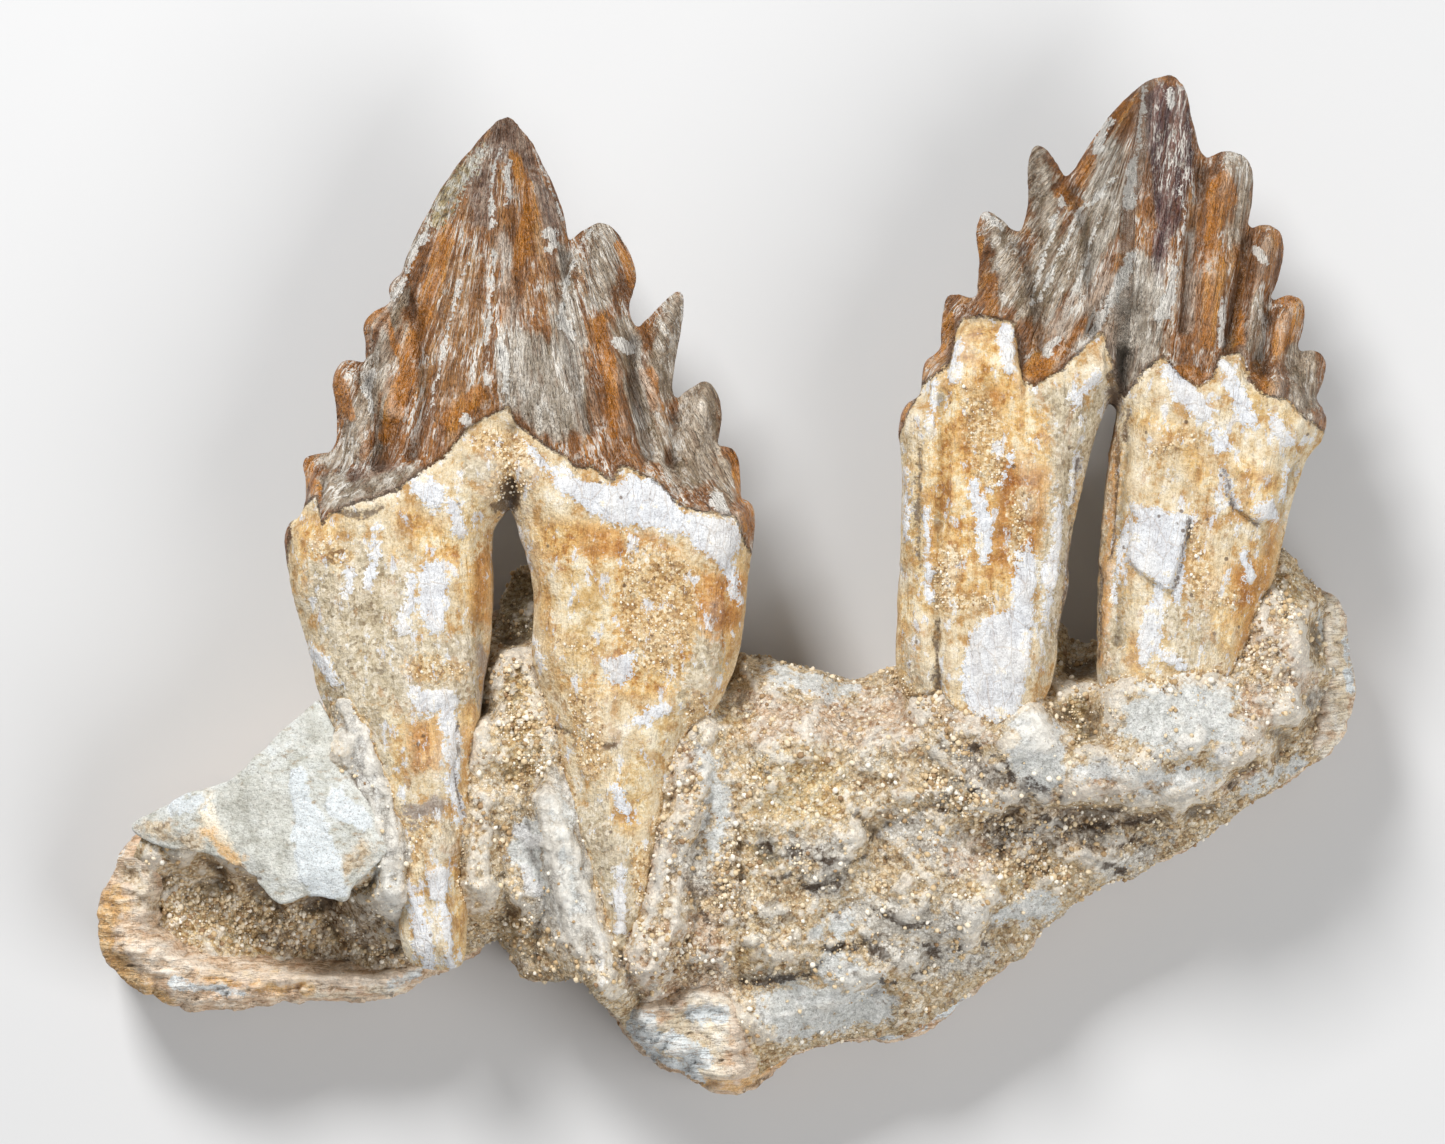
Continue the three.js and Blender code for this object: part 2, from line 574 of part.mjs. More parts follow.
// Bone plate: a thin curved sheet that sinks towards its left tip
function plateGeometry() {
  const middle = (point) => {
    const tip = toPart(PLATE_TIP);
    const root = toPart(PLATE_ROOT);
    const share = THREE.MathUtils.clamp((point.x - tip.x) / (root.x - tip.x), 0, 1);
    return THREE.MathUtils.lerp(PLATE_TIP_HEIGHT, PLATE_ROOT_HEIGHT, Math.sin(share * Math.PI / 2));
  };
  const half = (depth) => (PLATE_THICKNESS / 2)
    * THREE.MathUtils.lerp(PLATE_EDGE_SHARE, 1, Math.min(depth / PLATE_ROUNDING_WIDTH, 1));
  return solidFrom({
    strokes: PLATE_OUTLINE,
    shoulder: TOOTH_SHOULDER,
    faceFacet: PLATE_FACET,
    backFacet: PLATE_BACK_FACET,
    faceHeight: (point, depth) => middle(point) + half(depth)
      + PLATE_LUMP_HEIGHT * lumps(point, PLATE_LUMP_SIZE),
    backHeight: (point, depth) => middle(point) - half(depth),
  });
}

// Matrix: levels blended between the named places, with lumps, rounded off towards the outline
function matrixGeometry() {
  const levels = MATRIX_LEVELS.map(([column, row, height]) => ({ place: toPart([column, row]), height }));
  const levelAt = (point) => {
    let total = 0;
    let weights = 0;
    levels.forEach(({ place, height }) => {
      const weight = 1 / (place.distanceTo(point) + 1) ** LEVEL_SHARPNESS;
      total += height * weight;
      weights += weight;
    });
    return total / weights;
  };
  const faceHeight = (point, depth) => {
    const rounding = Math.min(depth / MATRIX_ROUNDING_WIDTH, 1) ** ROCK_ROUNDING;
    const rise = THREE.MathUtils.lerp(MATRIX_EDGE_SHARE, 1, rounding);
    const lump = MATRIX_LUMPS.reduce((sum, { height, size }) => sum + height * lumps(point, size), 0);
    return MATRIX_BACK_HEIGHT + (levelAt(point) - MATRIX_BACK_HEIGHT) * rise + lump;
  };
  return solidFrom({
    strokes: MATRIX_OUTLINE,
    shoulder: ROCK_SHOULDER,
    faceFacet: ROCK_FACET,
    backFacet: ROCK_BACK_FACET,
    faceHeight,
    backHeight: () => MATRIX_BACK_HEIGHT,
  });
}

function piece(name, geometry, color, roughness) {
  const material = new THREE.MeshStandardMaterial({ color, roughness, metalness: 0, flatShading: true });
  const mesh = new THREE.Mesh(geometry, material);
  mesh.name = name;
  return mesh;
}

const leftTooth = toothGeometry({
  strokes: LEFT_TOOTH_OUTLINE,
  crests: LEFT_TOOTH_CRESTS,
  grooves: LEFT_TOOTH_GROOVES,
  enamelLine: LEFT_ENAMEL_LINE,
  rootEnd: LEFT_ROOT_END,
  flakes: [],
});
const rightTooth = toothGeometry({
  strokes: RIGHT_TOOTH_OUTLINE,
  crests: RIGHT_TOOTH_CRESTS,
  grooves: RIGHT_TOOTH_GROOVES,
  enamelLine: RIGHT_ENAMEL_LINE,
  rootEnd: RIGHT_ROOT_END,
  flakes: ROOT_FLAKES,
});
const plate = plateGeometry();
const jaw = jawGeometry();
const matrix = matrixGeometry();

const fossil = new THREE.Group();
fossil.add(
  piece('tooth_left', leftTooth, '#a5713f', 0.45),
  piece('tooth_right', rightTooth, '#9a6c45', 0.45),
  piece('bone_plate', cutSeats(plate, [leftTooth]), '#dcd8ce', 0.7),
  piece('jaw_bone', cutSeats(jaw, [leftTooth, rightTooth, plate]), '#d8b795', 0.85),
  piece('matrix', cutSeats(matrix, [leftTooth, rightTooth, plate, jaw]), '#c9a27c', 0.95),
);

export default fossil;
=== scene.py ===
"""The finish of a fossil jaw fragment with two cheek teeth, lying on its back."""

import functools
import itertools
import math

import bpy
import numpy as np
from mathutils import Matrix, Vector


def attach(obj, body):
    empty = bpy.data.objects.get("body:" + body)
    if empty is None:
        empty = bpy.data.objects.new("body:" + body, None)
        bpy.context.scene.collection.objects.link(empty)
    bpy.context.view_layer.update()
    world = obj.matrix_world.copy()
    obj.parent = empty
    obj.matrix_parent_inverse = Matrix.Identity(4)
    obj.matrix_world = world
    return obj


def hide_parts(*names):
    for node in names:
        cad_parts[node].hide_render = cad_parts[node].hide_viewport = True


bl_info = {
    "name": "Fossil Jaw Fragment",
    "version": (1, 0, 0),
    "blender": (4, 5, 0),
    "location": "View3D > Sidebar > Fossil",
    "description": "Makes a fossil jaw fragment with serrated cheek teeth, bone and sandy matrix",
    "category": "Add Mesh",
}

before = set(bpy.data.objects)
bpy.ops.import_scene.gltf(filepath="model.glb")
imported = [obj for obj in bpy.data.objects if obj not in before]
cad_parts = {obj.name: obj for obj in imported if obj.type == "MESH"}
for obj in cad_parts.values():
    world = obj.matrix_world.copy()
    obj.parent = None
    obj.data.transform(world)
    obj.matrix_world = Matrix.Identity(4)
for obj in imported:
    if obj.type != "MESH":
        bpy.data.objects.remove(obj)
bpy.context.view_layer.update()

# Sizes in millimetres, most of them as in the solids. Shares, slopes and sharpness are plain numbers.
JAW_LENGTH = 253.8
TOOTH_MIDDLE_HEIGHT = 36
CROWN_HALF_THICKNESS = 12
ROOT_HALF_THICKNESS = 13
EDGE_HALF_THICKNESS = 0.7
CROWN_SLOPE_WIDTH = 26
ROOT_ROUNDING_WIDTH = 10
ROOT_TIP_SHARE = 0.6
JAW_WALL_THICKNESS = 16
JAW_EDGE_HEIGHT = 11
BACK_BEVEL_WIDTH = 3
BACK_BEVEL_HEIGHT = 4
PLATE_THICKNESS = 5.5
PLATE_BACK_DROP = 1.5
PLATE_TIP_HEIGHT = 31
PLATE_ROOT_HEIGHT = 46
MATRIX_BACK_HEIGHT = 9
MATRIX_EDGE_SHARE = 0.66
MATRIX_ROUNDING_WIDTH = 8
LEVEL_SHARPNESS = 4
CROWN_ROUNDING = 0.74
ROCK_ROUNDING = 0.6
JAW_ROUNDING_WIDTH = 5
JAW_ROUNDING = 0.6
JAW_MARGIN_FOOT_SHARE = 0.6
JAW_MARGIN_CREST_SHARE = 0.7
PLATE_EDGE_SHARE = 0.45
PLATE_ROUNDING_WIDTH = 4
RIDGE_HEIGHT = 2.0
RIDGE_WIDTH = 2.4
GROOVE_DEPTH = 2.2
GROOVE_WIDTH = 1.6
FAN_RADIUS = 60
HUG_HEIGHTS = (2.4, 0.4)
HUG_WIDTH = 4
BANK_SLOPE = 1.8
PATCH_WARP = 0.5
GRAINS_PER_METRE = 1150
GRAIN_RISE_SHARE = 0.25
WALL_ROWS = 14
BEVEL_START = 0.85
WALL_RAGGEDNESS = 1.1
WALL_LUMPS = (5, 5, 2.4)
FLOOR_REACH = 6000.0
SENSOR_WIDTH = 36.0
LENS_LENGTH = 200.0

# Photograph columns and rows of the fossil's four ends
PHOTO_LEFT = 92
PHOTO_RIGHT = 1361
PHOTO_TOP = 75
PHOTO_BOTTOM = 1099
PHOTO_SIZE = (1445, 1144)
MM_PER_PIXEL = JAW_LENGTH / (PHOTO_RIGHT - PHOTO_LEFT)
METRES = 0.001
LEFT_ROOT_END = 965
RIGHT_ROOT_END = 765
PLATE_TIP = (130, 826)
PLATE_ROOT = (360, 780)
DIAGONAL_CRACK = [(858, 815), (880, 838), (912, 872)]
MATRIX_SEAM = [(740, 700), (733, 790), (742, 880), (738, 1000)]

# Outlines are lists of strokes in photograph pixels, with a sharp corner between two strokes.
LEFT_TOOTH_OUTLINE = [
    # Main cusp, from its tip down the right flank
    [(510, 117), (531, 142), (546, 170), (558, 198), (565, 220)],
    # Denticles of the right flank, each from the notch above it over its tip
    [(568, 242), (583, 231), (602, 223), (618, 234), (631, 257), (636, 281), (629, 308)],
    [(637, 329), (652, 315), (668, 298), (680, 291), (684, 306), (678, 345), (672, 385)],
    [(676, 400), (690, 389), (706, 382), (718, 396), (721, 420)],
    [(717, 446), (731, 448), (739, 462), (741, 499)],
    # Right root, down to its broken end
    [(746, 500), (754, 509), (754, 535), (748, 580), (741, 640), (728, 684), (700, 735), (674, 790),
     (664, 850), (654, 905), (642, 950)],
    [(636, 960), (615, 968), (600, 962)],
    # Inner side of the right root, up to the top of the gap
    [(595, 950), (588, 890), (573, 825), (558, 760), (545, 700), (533, 655), (535, 610), (531, 570),
     (522, 540), (515, 517)],
    # Inner side of the left root, down to its broken end
    [(510, 508), (498, 522), (492, 538), (492, 600), (490, 645), (482, 700), (477, 765), (470, 835),
     (467, 900), (466, 950)],
    [(462, 966), (440, 970), (418, 966), (406, 955)],
    # Outer side of the left root
    [(400, 935), (397, 890), (384, 828), (364, 785), (343, 738), (321, 695), (308, 645), (295, 602),
     (288, 565), (286, 535)],
    # Denticles of the left flank, upwards
    [(292, 521), (300, 517), (306, 500), (306, 482), (303, 465), (308, 456), (320, 453)],
    [(331, 452), (337, 438), (336, 405), (333, 382), (341, 363), (356, 361)],
    [(366, 364), (366, 345), (364, 325), (374, 312), (386, 306)],
    [(391, 301), (389, 288), (395, 279)],
    # Main cusp, up the left flank
    [(401, 275), (412, 244), (434, 202), (452, 173), (481, 138), (498, 121)],
]
RIGHT_TOOTH_OUTLINE = [
    # Main cusp, from its tip down the right flank
    [(1170, 75), (1184, 88), (1192, 120), (1200, 150)],
    [(1207, 158), (1225, 152), (1243, 156), (1252, 172), (1252, 200), (1248, 224)],
    [(1251, 229), (1264, 225), (1279, 232), (1283, 252), (1277, 280), (1270, 297)],
    [(1272, 301), (1289, 295), (1303, 303), (1303, 325), (1297, 347)],
    [(1300, 352), (1315, 351), (1325, 362), (1322, 382), (1315, 397)],
    [(1316, 402), (1325, 417), (1321, 440), (1307, 458), (1296, 485), (1288, 515), (1278, 560),
     (1258, 620), (1236, 680), (1205, 735)],
    # Buried end of the right root
    [(1190, 755), (1160, 768), (1125, 762)],
    [(1112, 745), (1101, 700), (1097, 650), (1097, 580), (1104, 500), (1112, 440), (1116, 410)],
    # Inner side of the left root
    [(1108, 403), (1099, 425), (1088, 460), (1079, 500), (1070, 545), (1067, 590), (1058, 630),
     (1052, 680), (1032, 720), (1014, 752)],
    # Buried end of the left root
    [(1004, 764), (975, 768), (945, 752)],
    [(925, 725), (903, 690), (896, 660), (899, 600), (902, 500), (901, 455), (899, 430)],
    # Denticles of the left flank, upwards
    [(902, 412), (908, 402), (918, 397)],
    [(921, 385), (925, 362), (936, 353)],
    [(940, 348), (943, 315), (947, 297), (958, 294), (969, 298)],
    [(977, 296), (979, 262), (976, 230), (984, 212), (998, 217), (1012, 230)],
    [(1021, 232), (1028, 205), (1028, 170), (1034, 147), (1045, 149), (1058, 166), (1066, 177)],
    # Main cusp, up the left flank
    [(1076, 168), (1091, 142), (1112, 113), (1130, 95), (1150, 80)],
]
PLATE_OUTLINE = [
    [(321, 697), (283, 732), (236, 776), (200, 790), (158, 809), (130, 826)],
    [(136, 836), (160, 846), (210, 853), (250, 872), (282, 901), (318, 892), (346, 900)],
    [(354, 885), (388, 850), (383, 826), (362, 782), (343, 738)],
]
JAW_OUTLINE = [
    [(326, 702), (300, 726), (266, 754), (236, 782), (200, 795), (158, 813), (133, 832)],
    [(121, 848), (107, 875), (92, 913), (95, 950), (110, 974), (134, 997)],
    [(150, 999), (180, 1013), (235, 1013), (300, 1004), (360, 1006), (400, 998), (418, 984)],
    [(440, 978), (470, 960), (486, 943), (500, 941), (510, 968), (524, 984), (556, 985), (578, 978),
     (598, 1003), (622, 1034), (645, 1060), (668, 1074), (690, 1081)],
    [(703, 1093), (727, 1099), (752, 1095), (780, 1075), (803, 1057), (840, 1047), (880, 1045),
     (912, 1045), (950, 1021), (990, 987), (1033, 959)],
    [(1034, 952), (1052, 928), (1076, 909), (1116, 886), (1150, 872), (1200, 850), (1245, 815),
     (1305, 777), (1345, 745), (1357, 712), (1361, 692), (1354, 650), (1350, 614), (1338, 596),
     (1312, 584), (1300, 566), (1286, 552)],
    [(1280, 556), (1232, 612), (1150, 655), (1060, 668), (980, 674), (900, 678), (855, 690), (800, 678),
     (745, 672)],
    [(734, 694), (722, 668), (723, 630), (720, 600), (698, 580), (640, 572), (580, 570), (530, 572),
     (508, 590), (492, 622), (474, 602), (430, 588), (380, 584), (335, 592), (315, 618), (322, 660)],
]
MATRIX_OUTLINE = [
    [(332, 708), (300, 738), (262, 768), (225, 795), (180, 812), (142, 835)],
    [(132, 858), (112, 900), (116, 940), (150, 975), (220, 985), (300, 980), (380, 980), (425, 968)],
    [(470, 955), (486, 942), (500, 940), (512, 966), (526, 981), (556, 982), (580, 978), (600, 1000),
     (640, 1045), (690, 1068), (735, 1085), (760, 1078), (800, 1054), (860, 1042), (905, 1038),
     (950, 1012), (990, 980), (1028, 958)],
    [(1033, 950), (1050, 926), (1076, 906), (1116, 882), (1134, 880), (1165, 862), (1200, 846),
     (1245, 811), (1300, 774), (1334, 742), (1345, 700), (1338, 650), (1330, 600), (1311, 582),
     (1300, 565)],
    [(1282, 545), (1260, 574), (1210, 600), (1150, 630), (1098, 646), (1076, 648), (1060, 622),
     (1000, 640), (940, 655)],
    [(897, 669), (855, 683), (800, 668), (760, 660), (737, 655)],
    [(727, 688), (726, 660), (727, 625), (724, 594), (700, 573), (640, 565), (580, 562), (525, 564),
     (508, 580), (499, 604), (491, 630), (472, 596), (430, 580), (380, 576), (330, 586), (310, 612),
     (317, 652), (327, 690)],
]

# Crests that stand up along the cusps and down the crowns, and grooves that run from the notches
LEFT_TOOTH_RIDGES = [
    [(603, 240), (606, 290), (612, 350), (628, 430)],
    [(677, 305), (665, 345), (655, 400)],
    [(706, 395), (700, 430), (690, 470)],
    [(372, 325), (384, 360), (396, 410)],
    [(343, 375), (352, 410), (364, 450)],
    [(538, 190), (552, 260), (572, 340), (600, 420)],
]
LEFT_TOOTH_GROOVES = [
    [(566, 250), (562, 320), (590, 430)],
    [(634, 335), (632, 390), (650, 455)],
    [(674, 405), (672, 460)],
    [(404, 282), (420, 330), (425, 400), (415, 455)],
    [(368, 368), (378, 420), (380, 465)],
    [(512, 430), (512, 500)],
]
RIGHT_TOOTH_RIDGES = [
    [(1145, 86), (1139, 150), (1126, 240), (1122, 300)],
    [(1228, 165), (1218, 215), (1212, 290), (1205, 350)],
    [(1270, 240), (1255, 290), (1245, 350)],
    [(1291, 308), (1280, 350), (1270, 390)],
    [(1037, 158), (1045, 215), (1058, 280)],
    [(988, 224), (1000, 270), (1012, 320)],
]
RIGHT_TOOTH_GROOVES = [
    [(1202, 165), (1188, 240), (1178, 330)],
    [(1247, 235), (1234, 300), (1225, 350)],
    [(1268, 305), (1258, 370)],
    [(1070, 182), (1085, 240), (1090, 330)],
    [(1020, 240), (1032, 300), (1040, 350)],
    [(1123, 356), (1118, 400)],
    [(939, 400), (937, 500), (934, 600), (938, 690)],
    [(1126, 430), (1118, 520), (1116, 640)],
]
LEFT_ENAMEL_LINE = [
    (286, 590), (292, 520), (306, 506), (318, 496), (325, 524), (334, 514), (350, 506), (380, 498),
    (404, 488), (420, 474), (445, 458), (468, 430), (490, 416), (510, 408), (517, 424), (545, 446),
    (566, 458), (578, 470), (592, 468), (614, 484), (622, 466), (650, 478), (666, 492), (680, 506),
    (703, 512), (735, 518), (745, 545), (756, 560),
]
RIGHT_ENAMEL_LINE = [
    (893, 452), (922, 385), (948, 366), (957, 330), (962, 320), (980, 316), (1012, 324), (1020, 384),
    (1034, 387), (1055, 375), (1082, 350), (1100, 334), (1112, 372), (1122, 398), (1140, 372), (1160, 358),
    (1175, 378), (1195, 390), (1210, 378), (1216, 358), (1236, 354), (1244, 374), (1257, 396),
    (1282, 402), (1300, 420), (1330, 436),
]

# Heights of the matrix face above the floor: column, row, height
MATRIX_LEVELS = [
    # Under the plate, and the open canal below it
    (145, 828, 35), (180, 815, 40), (215, 800, 44), (262, 775, 47), (305, 740, 49), (330, 712, 49),
    (180, 835, 38), (230, 840, 41), (290, 850, 44), (330, 800, 45), (360, 860, 45), (400, 850, 44),
    (150, 880, 24), (200, 895, 20), (260, 920, 18), (330, 930, 20), (385, 935, 25), (300, 960, 21),
    (160, 940, 21), (405, 960, 30),
    # Behind and between the roots of the left tooth
    (330, 640, 24), (380, 600, 22), (450, 600, 21), (590, 590, 22), (650, 590, 23), (700, 605, 24),
    (712, 655, 28), (516, 585, 20), (516, 625, 25), (450, 675, 30), (590, 670, 30), (515, 668, 39),
    (515, 730, 42),
    (540, 800, 41), (535, 890, 40), (500, 925, 34), (550, 960, 34), (600, 985, 33),
    # From the left tooth to the long seam
    (622, 1022, 16), (654, 1044, 16), (692, 1062, 14), (712, 1044, 18), (752, 1015, 34),
    (690, 982, 33), (766, 1060, 29), (700, 760, 43), (690, 860, 41), (695, 950, 39), (720, 700, 40),
    # The saddle between the teeth
    (748, 675, 36), (800, 685, 38), (860, 698, 37), (890, 690, 38),
    (790, 750, 45), (800, 840, 43), (770, 930, 41), (770, 1030, 33), (845, 830, 44), (888, 845, 38),
    (900, 760, 43), (920, 880, 41), (870, 960, 36), (880, 1020, 27), (950, 985, 28), (970, 900, 39),
    (1005, 935, 29),
    # Cement around the roots of the right tooth, and the recess below it
    (930, 700, 44), (965, 740, 46), (1030, 735, 48), (1085, 765, 47), (1130, 700, 48), (1180, 730, 49),
    (1232, 740, 47.5), (1130, 760, 49), (1190, 690, 47.5), (1000, 790, 46), (1180, 785, 45),
    (1000, 835, 34), (1090, 832, 33), (1050, 880, 30), (1150, 846, 29), (1200, 825, 31),
    (1255, 785, 34),
    # Behind the gap of the right tooth, and the right end
    (1080, 655, 24), (1080, 705, 37), (1000, 650, 23), (1190, 625, 25), (1275, 700, 44), (1290, 640, 45),
    (1262, 600, 42), (1290, 575, 38), (1325, 640, 32), (1330, 715, 29), (1300, 755, 30),
]
# Raised margins of the jaw bone: a line in pixels with half widths in millimetres, and a height
JAW_MARGINS = [
    ([(136, 864, 9), (114, 910, 11), (114, 950, 12), (150, 984, 12), (225, 994, 9), (300, 992, 7.5),
      (380, 990, 7), (415, 975, 6)], 30),
    ([(620, 1012, 8), (652, 1026, 12), (696, 1036, 16), (724, 1070, 11)], 35),
    ([(830, 1038, 6), (905, 1030, 6), (975, 985, 6)], 22),
    ([(1338, 615, 7), (1346, 690, 8), (1330, 745, 7)], 28),
]

# Banks of sand: a stroke with half widths, and the height above the floor up to which it is filled
MATRIX_BANKS = [
    ([(150, 850, 6), (190, 850, 5)], 33),
    ([(548, 800, 8), (566, 860, 12), (584, 930, 14), (602, 972, 11)], 46.5),
    ([(700, 770, 10), (672, 850, 10), (662, 920, 14), (646, 955, 13)], 45.5),
    ([(350, 704, 5), (370, 760, 8), (390, 830, 9), (396, 885, 8)], 47.5),
    ([(482, 800, 6), (480, 880, 8)], 44.5),
]

# Patches of colour. A list holds columns and rows in turn, for the corners of a polygon in photograph
# pixels. A tuple is a stroke and holds a column, a row and a half width for each of its places.
LEFT_TOOTH_PATCHES = {
    "dust": [[492, 345, 520, 330, 552, 345, 575, 380, 586, 430, 556, 440, 530, 428, 505, 402], (560, 250, 6,
        566, 300, 8, 572, 380, 10), (404, 262, 6, 390, 310, 5, 376, 350, 6), (640, 350, 6, 648, 420, 8),
        (505, 240, 5, 512, 300, 8, 516, 340, 8)],
    "smooth": [[439, 291, 455, 262, 480, 258, 490, 300, 492, 350, 489, 406, 442, 408, 432, 350]],
    "grey": [(566, 262, 12, 568, 330, 13, 578, 400, 12), [492, 345, 520, 330, 557, 340, 582, 380, 592, 430,
        560, 442, 530, 428, 505, 402], (602, 236, 16, 604, 262, 16, 598, 300, 11), (622, 330, 12,
        640, 400, 13, 655, 450, 16), (676, 305, 10, 668, 345, 18, 662, 385, 20), (706, 395, 18, 698, 425, 26,
        690, 470, 24), (722, 470, 12, 722, 500, 12), (405, 295, 9, 390, 335, 11, 374, 376, 14, 354, 432, 11),
        (330, 462, 11, 352, 452, 12), (404, 262, 9, 425, 235, 7), (330, 492, 18, 370, 502, 20, 412, 478, 12),
        (392, 400, 7, 380, 450, 8)],
    "amber": [(513, 156, 3, 525, 185, 7, 531, 215, 7, 522, 250, 8, 510, 290, 6, 505, 322, 5), (618, 246, 4,
        630, 262, 6, 633, 285, 7), (370, 318, 5, 384, 314, 7, 393, 335, 5, 398, 352, 4), (340, 374, 5,
        342, 395, 9, 352, 418, 6), (306, 462, 5, 312, 480, 6, 322, 500, 4), (290, 525, 4, 288, 550, 5,
        292, 585, 3), (734, 455, 5, 739, 480, 5, 740, 498, 4), (750, 510, 6, 750, 535, 5), (448, 232, 7,
        432, 290, 9, 418, 340, 8, 400, 400, 9, 388, 440, 9), (600, 322, 6, 608, 370, 8, 614, 432, 7),
        (648, 374, 7, 656, 405, 7), (420, 256, 5, 398, 288, 4), (452, 420, 10, 480, 395, 8)],
    "crust": [(484, 150, 4, 466, 172, 9, 450, 196, 11, 436, 222, 9)],
    "chalk": [(501, 150, 2, 496, 166, 1.6, 493, 190, 1.4, 493, 228, 1.4), (508, 165, 2, 509, 182, 3,
        508, 205, 2), (552, 236, 6, 556, 246, 5, 548, 252, 3), (496, 255, 1, 492, 300, 1.2, 489, 345, 1.4,
        489, 385, 1.2), (592, 232, 1.6, 578, 255, 1.6, 566, 285, 2.2, 560, 330, 1.6), (538, 160, 1.2,
        553, 195, 1.2, 563, 218, 1.4), (374, 372, 5, 366, 392, 4, 372, 410, 4), (424, 238, 6, 412, 262, 3,
        396, 296, 3), (470, 262, 1.2, 452, 320, 1.2, 430, 420, 1.2), (565, 324, 7, 572, 336, 5), (618, 344, 7,
        630, 350, 5), (504, 345, 4, 508, 392, 5), (684, 292, 1.6, 684, 330, 1.2, 676, 372, 1.2), (466, 420, 4,
        470, 426, 4), (716, 500, 6, 728, 528, 9)],
    "shade": [(566, 300, 4, 572, 400, 4), (634, 340, 4, 640, 430, 4), (520, 428, 3, 575, 468, 3,
        680, 505, 3)],
    "tan": [[306, 566, 346, 540, 415, 564, 420, 640, 400, 660, 330, 650], [346, 640, 481, 632, 484, 700,
        420, 712, 345, 704, 322, 690], [321, 687, 350, 690, 390, 780, 400, 860, 390, 900, 360, 800],
        (405, 800, 14, 430, 825, 20, 452, 846, 14), (600, 830, 14, 622, 870, 22, 626, 950, 22), (715, 610, 14,
        705, 660, 16, 690, 700, 14), (520, 470, 18, 478, 470, 16), [350, 700, 392, 700, 400, 800, 402, 900,
        384, 880, 362, 790], [560, 800, 600, 800, 612, 960, 592, 960]],
    "ochre": [[299, 513, 343, 520, 343, 564, 304, 590, 295, 560], (412, 520, 14, 440, 545, 18, 470, 560, 20,
        480, 610, 12), [536, 520, 590, 520, 650, 540, 728, 585, 746, 545, 740, 640, 722, 690, 640, 700,
        560, 690, 541, 620], (402, 560, 10, 372, 610, 14, 338, 600, 14), (400, 720, 6, 397, 815, 6),
        (470, 700, 8, 474, 760, 9, 466, 800, 6), (632, 785, 18, 628, 820, 12), (455, 850, 10, 462, 890, 9,
        458, 950, 8), (404, 810, 8, 412, 850, 5), (620, 860, 5, 626, 930, 8, 640, 850, 6)],
    "orange": [[586, 527, 640, 535, 681, 552, 660, 568, 610, 556, 580, 560], [695, 571, 746, 575, 742, 625,
        715, 640, 690, 610], [412, 724, 438, 720, 441, 765, 412, 772], (476, 520, 7, 484, 560, 7,
        484, 620, 6), (471, 735, 8, 474, 775, 8), (552, 560, 6, 560, 620, 8, 566, 670, 6)],
    "sandy": [[626, 534, 690, 560, 699, 610, 680, 676, 632, 670, 618, 600], (480, 440, 12, 520, 455, 18,
        496, 492, 12, 540, 480, 6), (320, 545, 12, 350, 560, 10), (420, 665, 12, 460, 670, 10), (700, 700, 12,
        690, 740, 8), (585, 705, 18, 594, 760, 16), (430, 822, 10, 410, 870, 6), (640, 850, 10, 646, 900, 8),
        (600, 650, 8, 560, 640, 6)],
    "cream": [[452, 495, 488, 498, 486, 540, 470, 565, 450, 545], [634, 711, 684, 702, 666, 742, 655, 775,
        648, 818, 619, 811, 626, 767, 641, 738], [546, 564, 619, 560, 612, 676, 560, 676], (394, 716, 5,
        399, 760, 5, 399, 818, 4), (415, 878, 6, 420, 930, 7, 424, 964, 6), (660, 640, 14, 640, 668, 12)],
    "purple": [(485, 651, 6, 488, 720, 9, 484, 793, 7), (416, 815, 14, 438, 806, 12)],
    "white": [[410, 478, 436, 475, 448, 490, 446, 505, 428, 507, 414, 494], [524, 440, 546, 462, 572, 480,
        608, 484, 634, 473, 656, 480, 677, 505, 700, 516, 739, 524, 739, 549, 728, 571, 710, 560, 688, 538,
        655, 527, 619, 527, 590, 513, 561, 491, 539, 469], [422, 562, 440, 558, 450, 580, 446, 632, 430, 634,
        421, 600], (415, 574, 3, 414, 600, 4, 404, 628, 6), (379, 530, 5, 376, 565, 5, 370, 590, 3),
        (348, 558, 3, 353, 575, 4, 348, 594, 3), [309, 640, 330, 655, 346, 684, 338, 688, 318, 664],
        [411, 688, 452, 690, 456, 706, 420, 716], (450, 695, 7, 452, 740, 7, 455, 780, 6, 460, 818, 5),
        [427, 864, 452, 866, 448, 900, 430, 896], (412, 880, 4, 422, 925, 8, 430, 965, 8), (622, 870, 5,
        620, 925, 7), [601, 656, 634, 654, 637, 676, 612, 684], (617, 790, 5, 628, 815, 5), (640, 720, 6,
        652, 712, 8, 668, 708, 5), (515, 520, 2, 528, 545, 3, 531, 570, 2), (536, 640, 2, 545, 672, 3),
        (560, 470, 6, 585, 500, 8), (455, 508, 8, 462, 530, 6), (726, 560, 6, 738, 600, 4), (444, 905, 4,
        452, 964, 4)],
    "dirt": [(510, 490, 10, 516, 505, 6, 498, 508, 6), (546, 724, 1.5, 590, 742, 1.5, 612, 745, 1.5),
        (596, 960, 4, 600, 900, 2), (458, 722, 0.8, 456, 770, 0.8, 462, 815, 0.8), (340, 512, 3, 366, 516, 4,
        384, 508, 2)],
    "dull": [[490, 122, 510, 117, 530, 145, 538, 172, 505, 166, 480, 156], [468, 165, 494, 160, 492, 228,
        474, 228], (536, 180, 7, 552, 212, 9, 556, 232, 6), [334, 470, 372, 462, 412, 470, 404, 490, 380, 502,
        340, 512]],
}
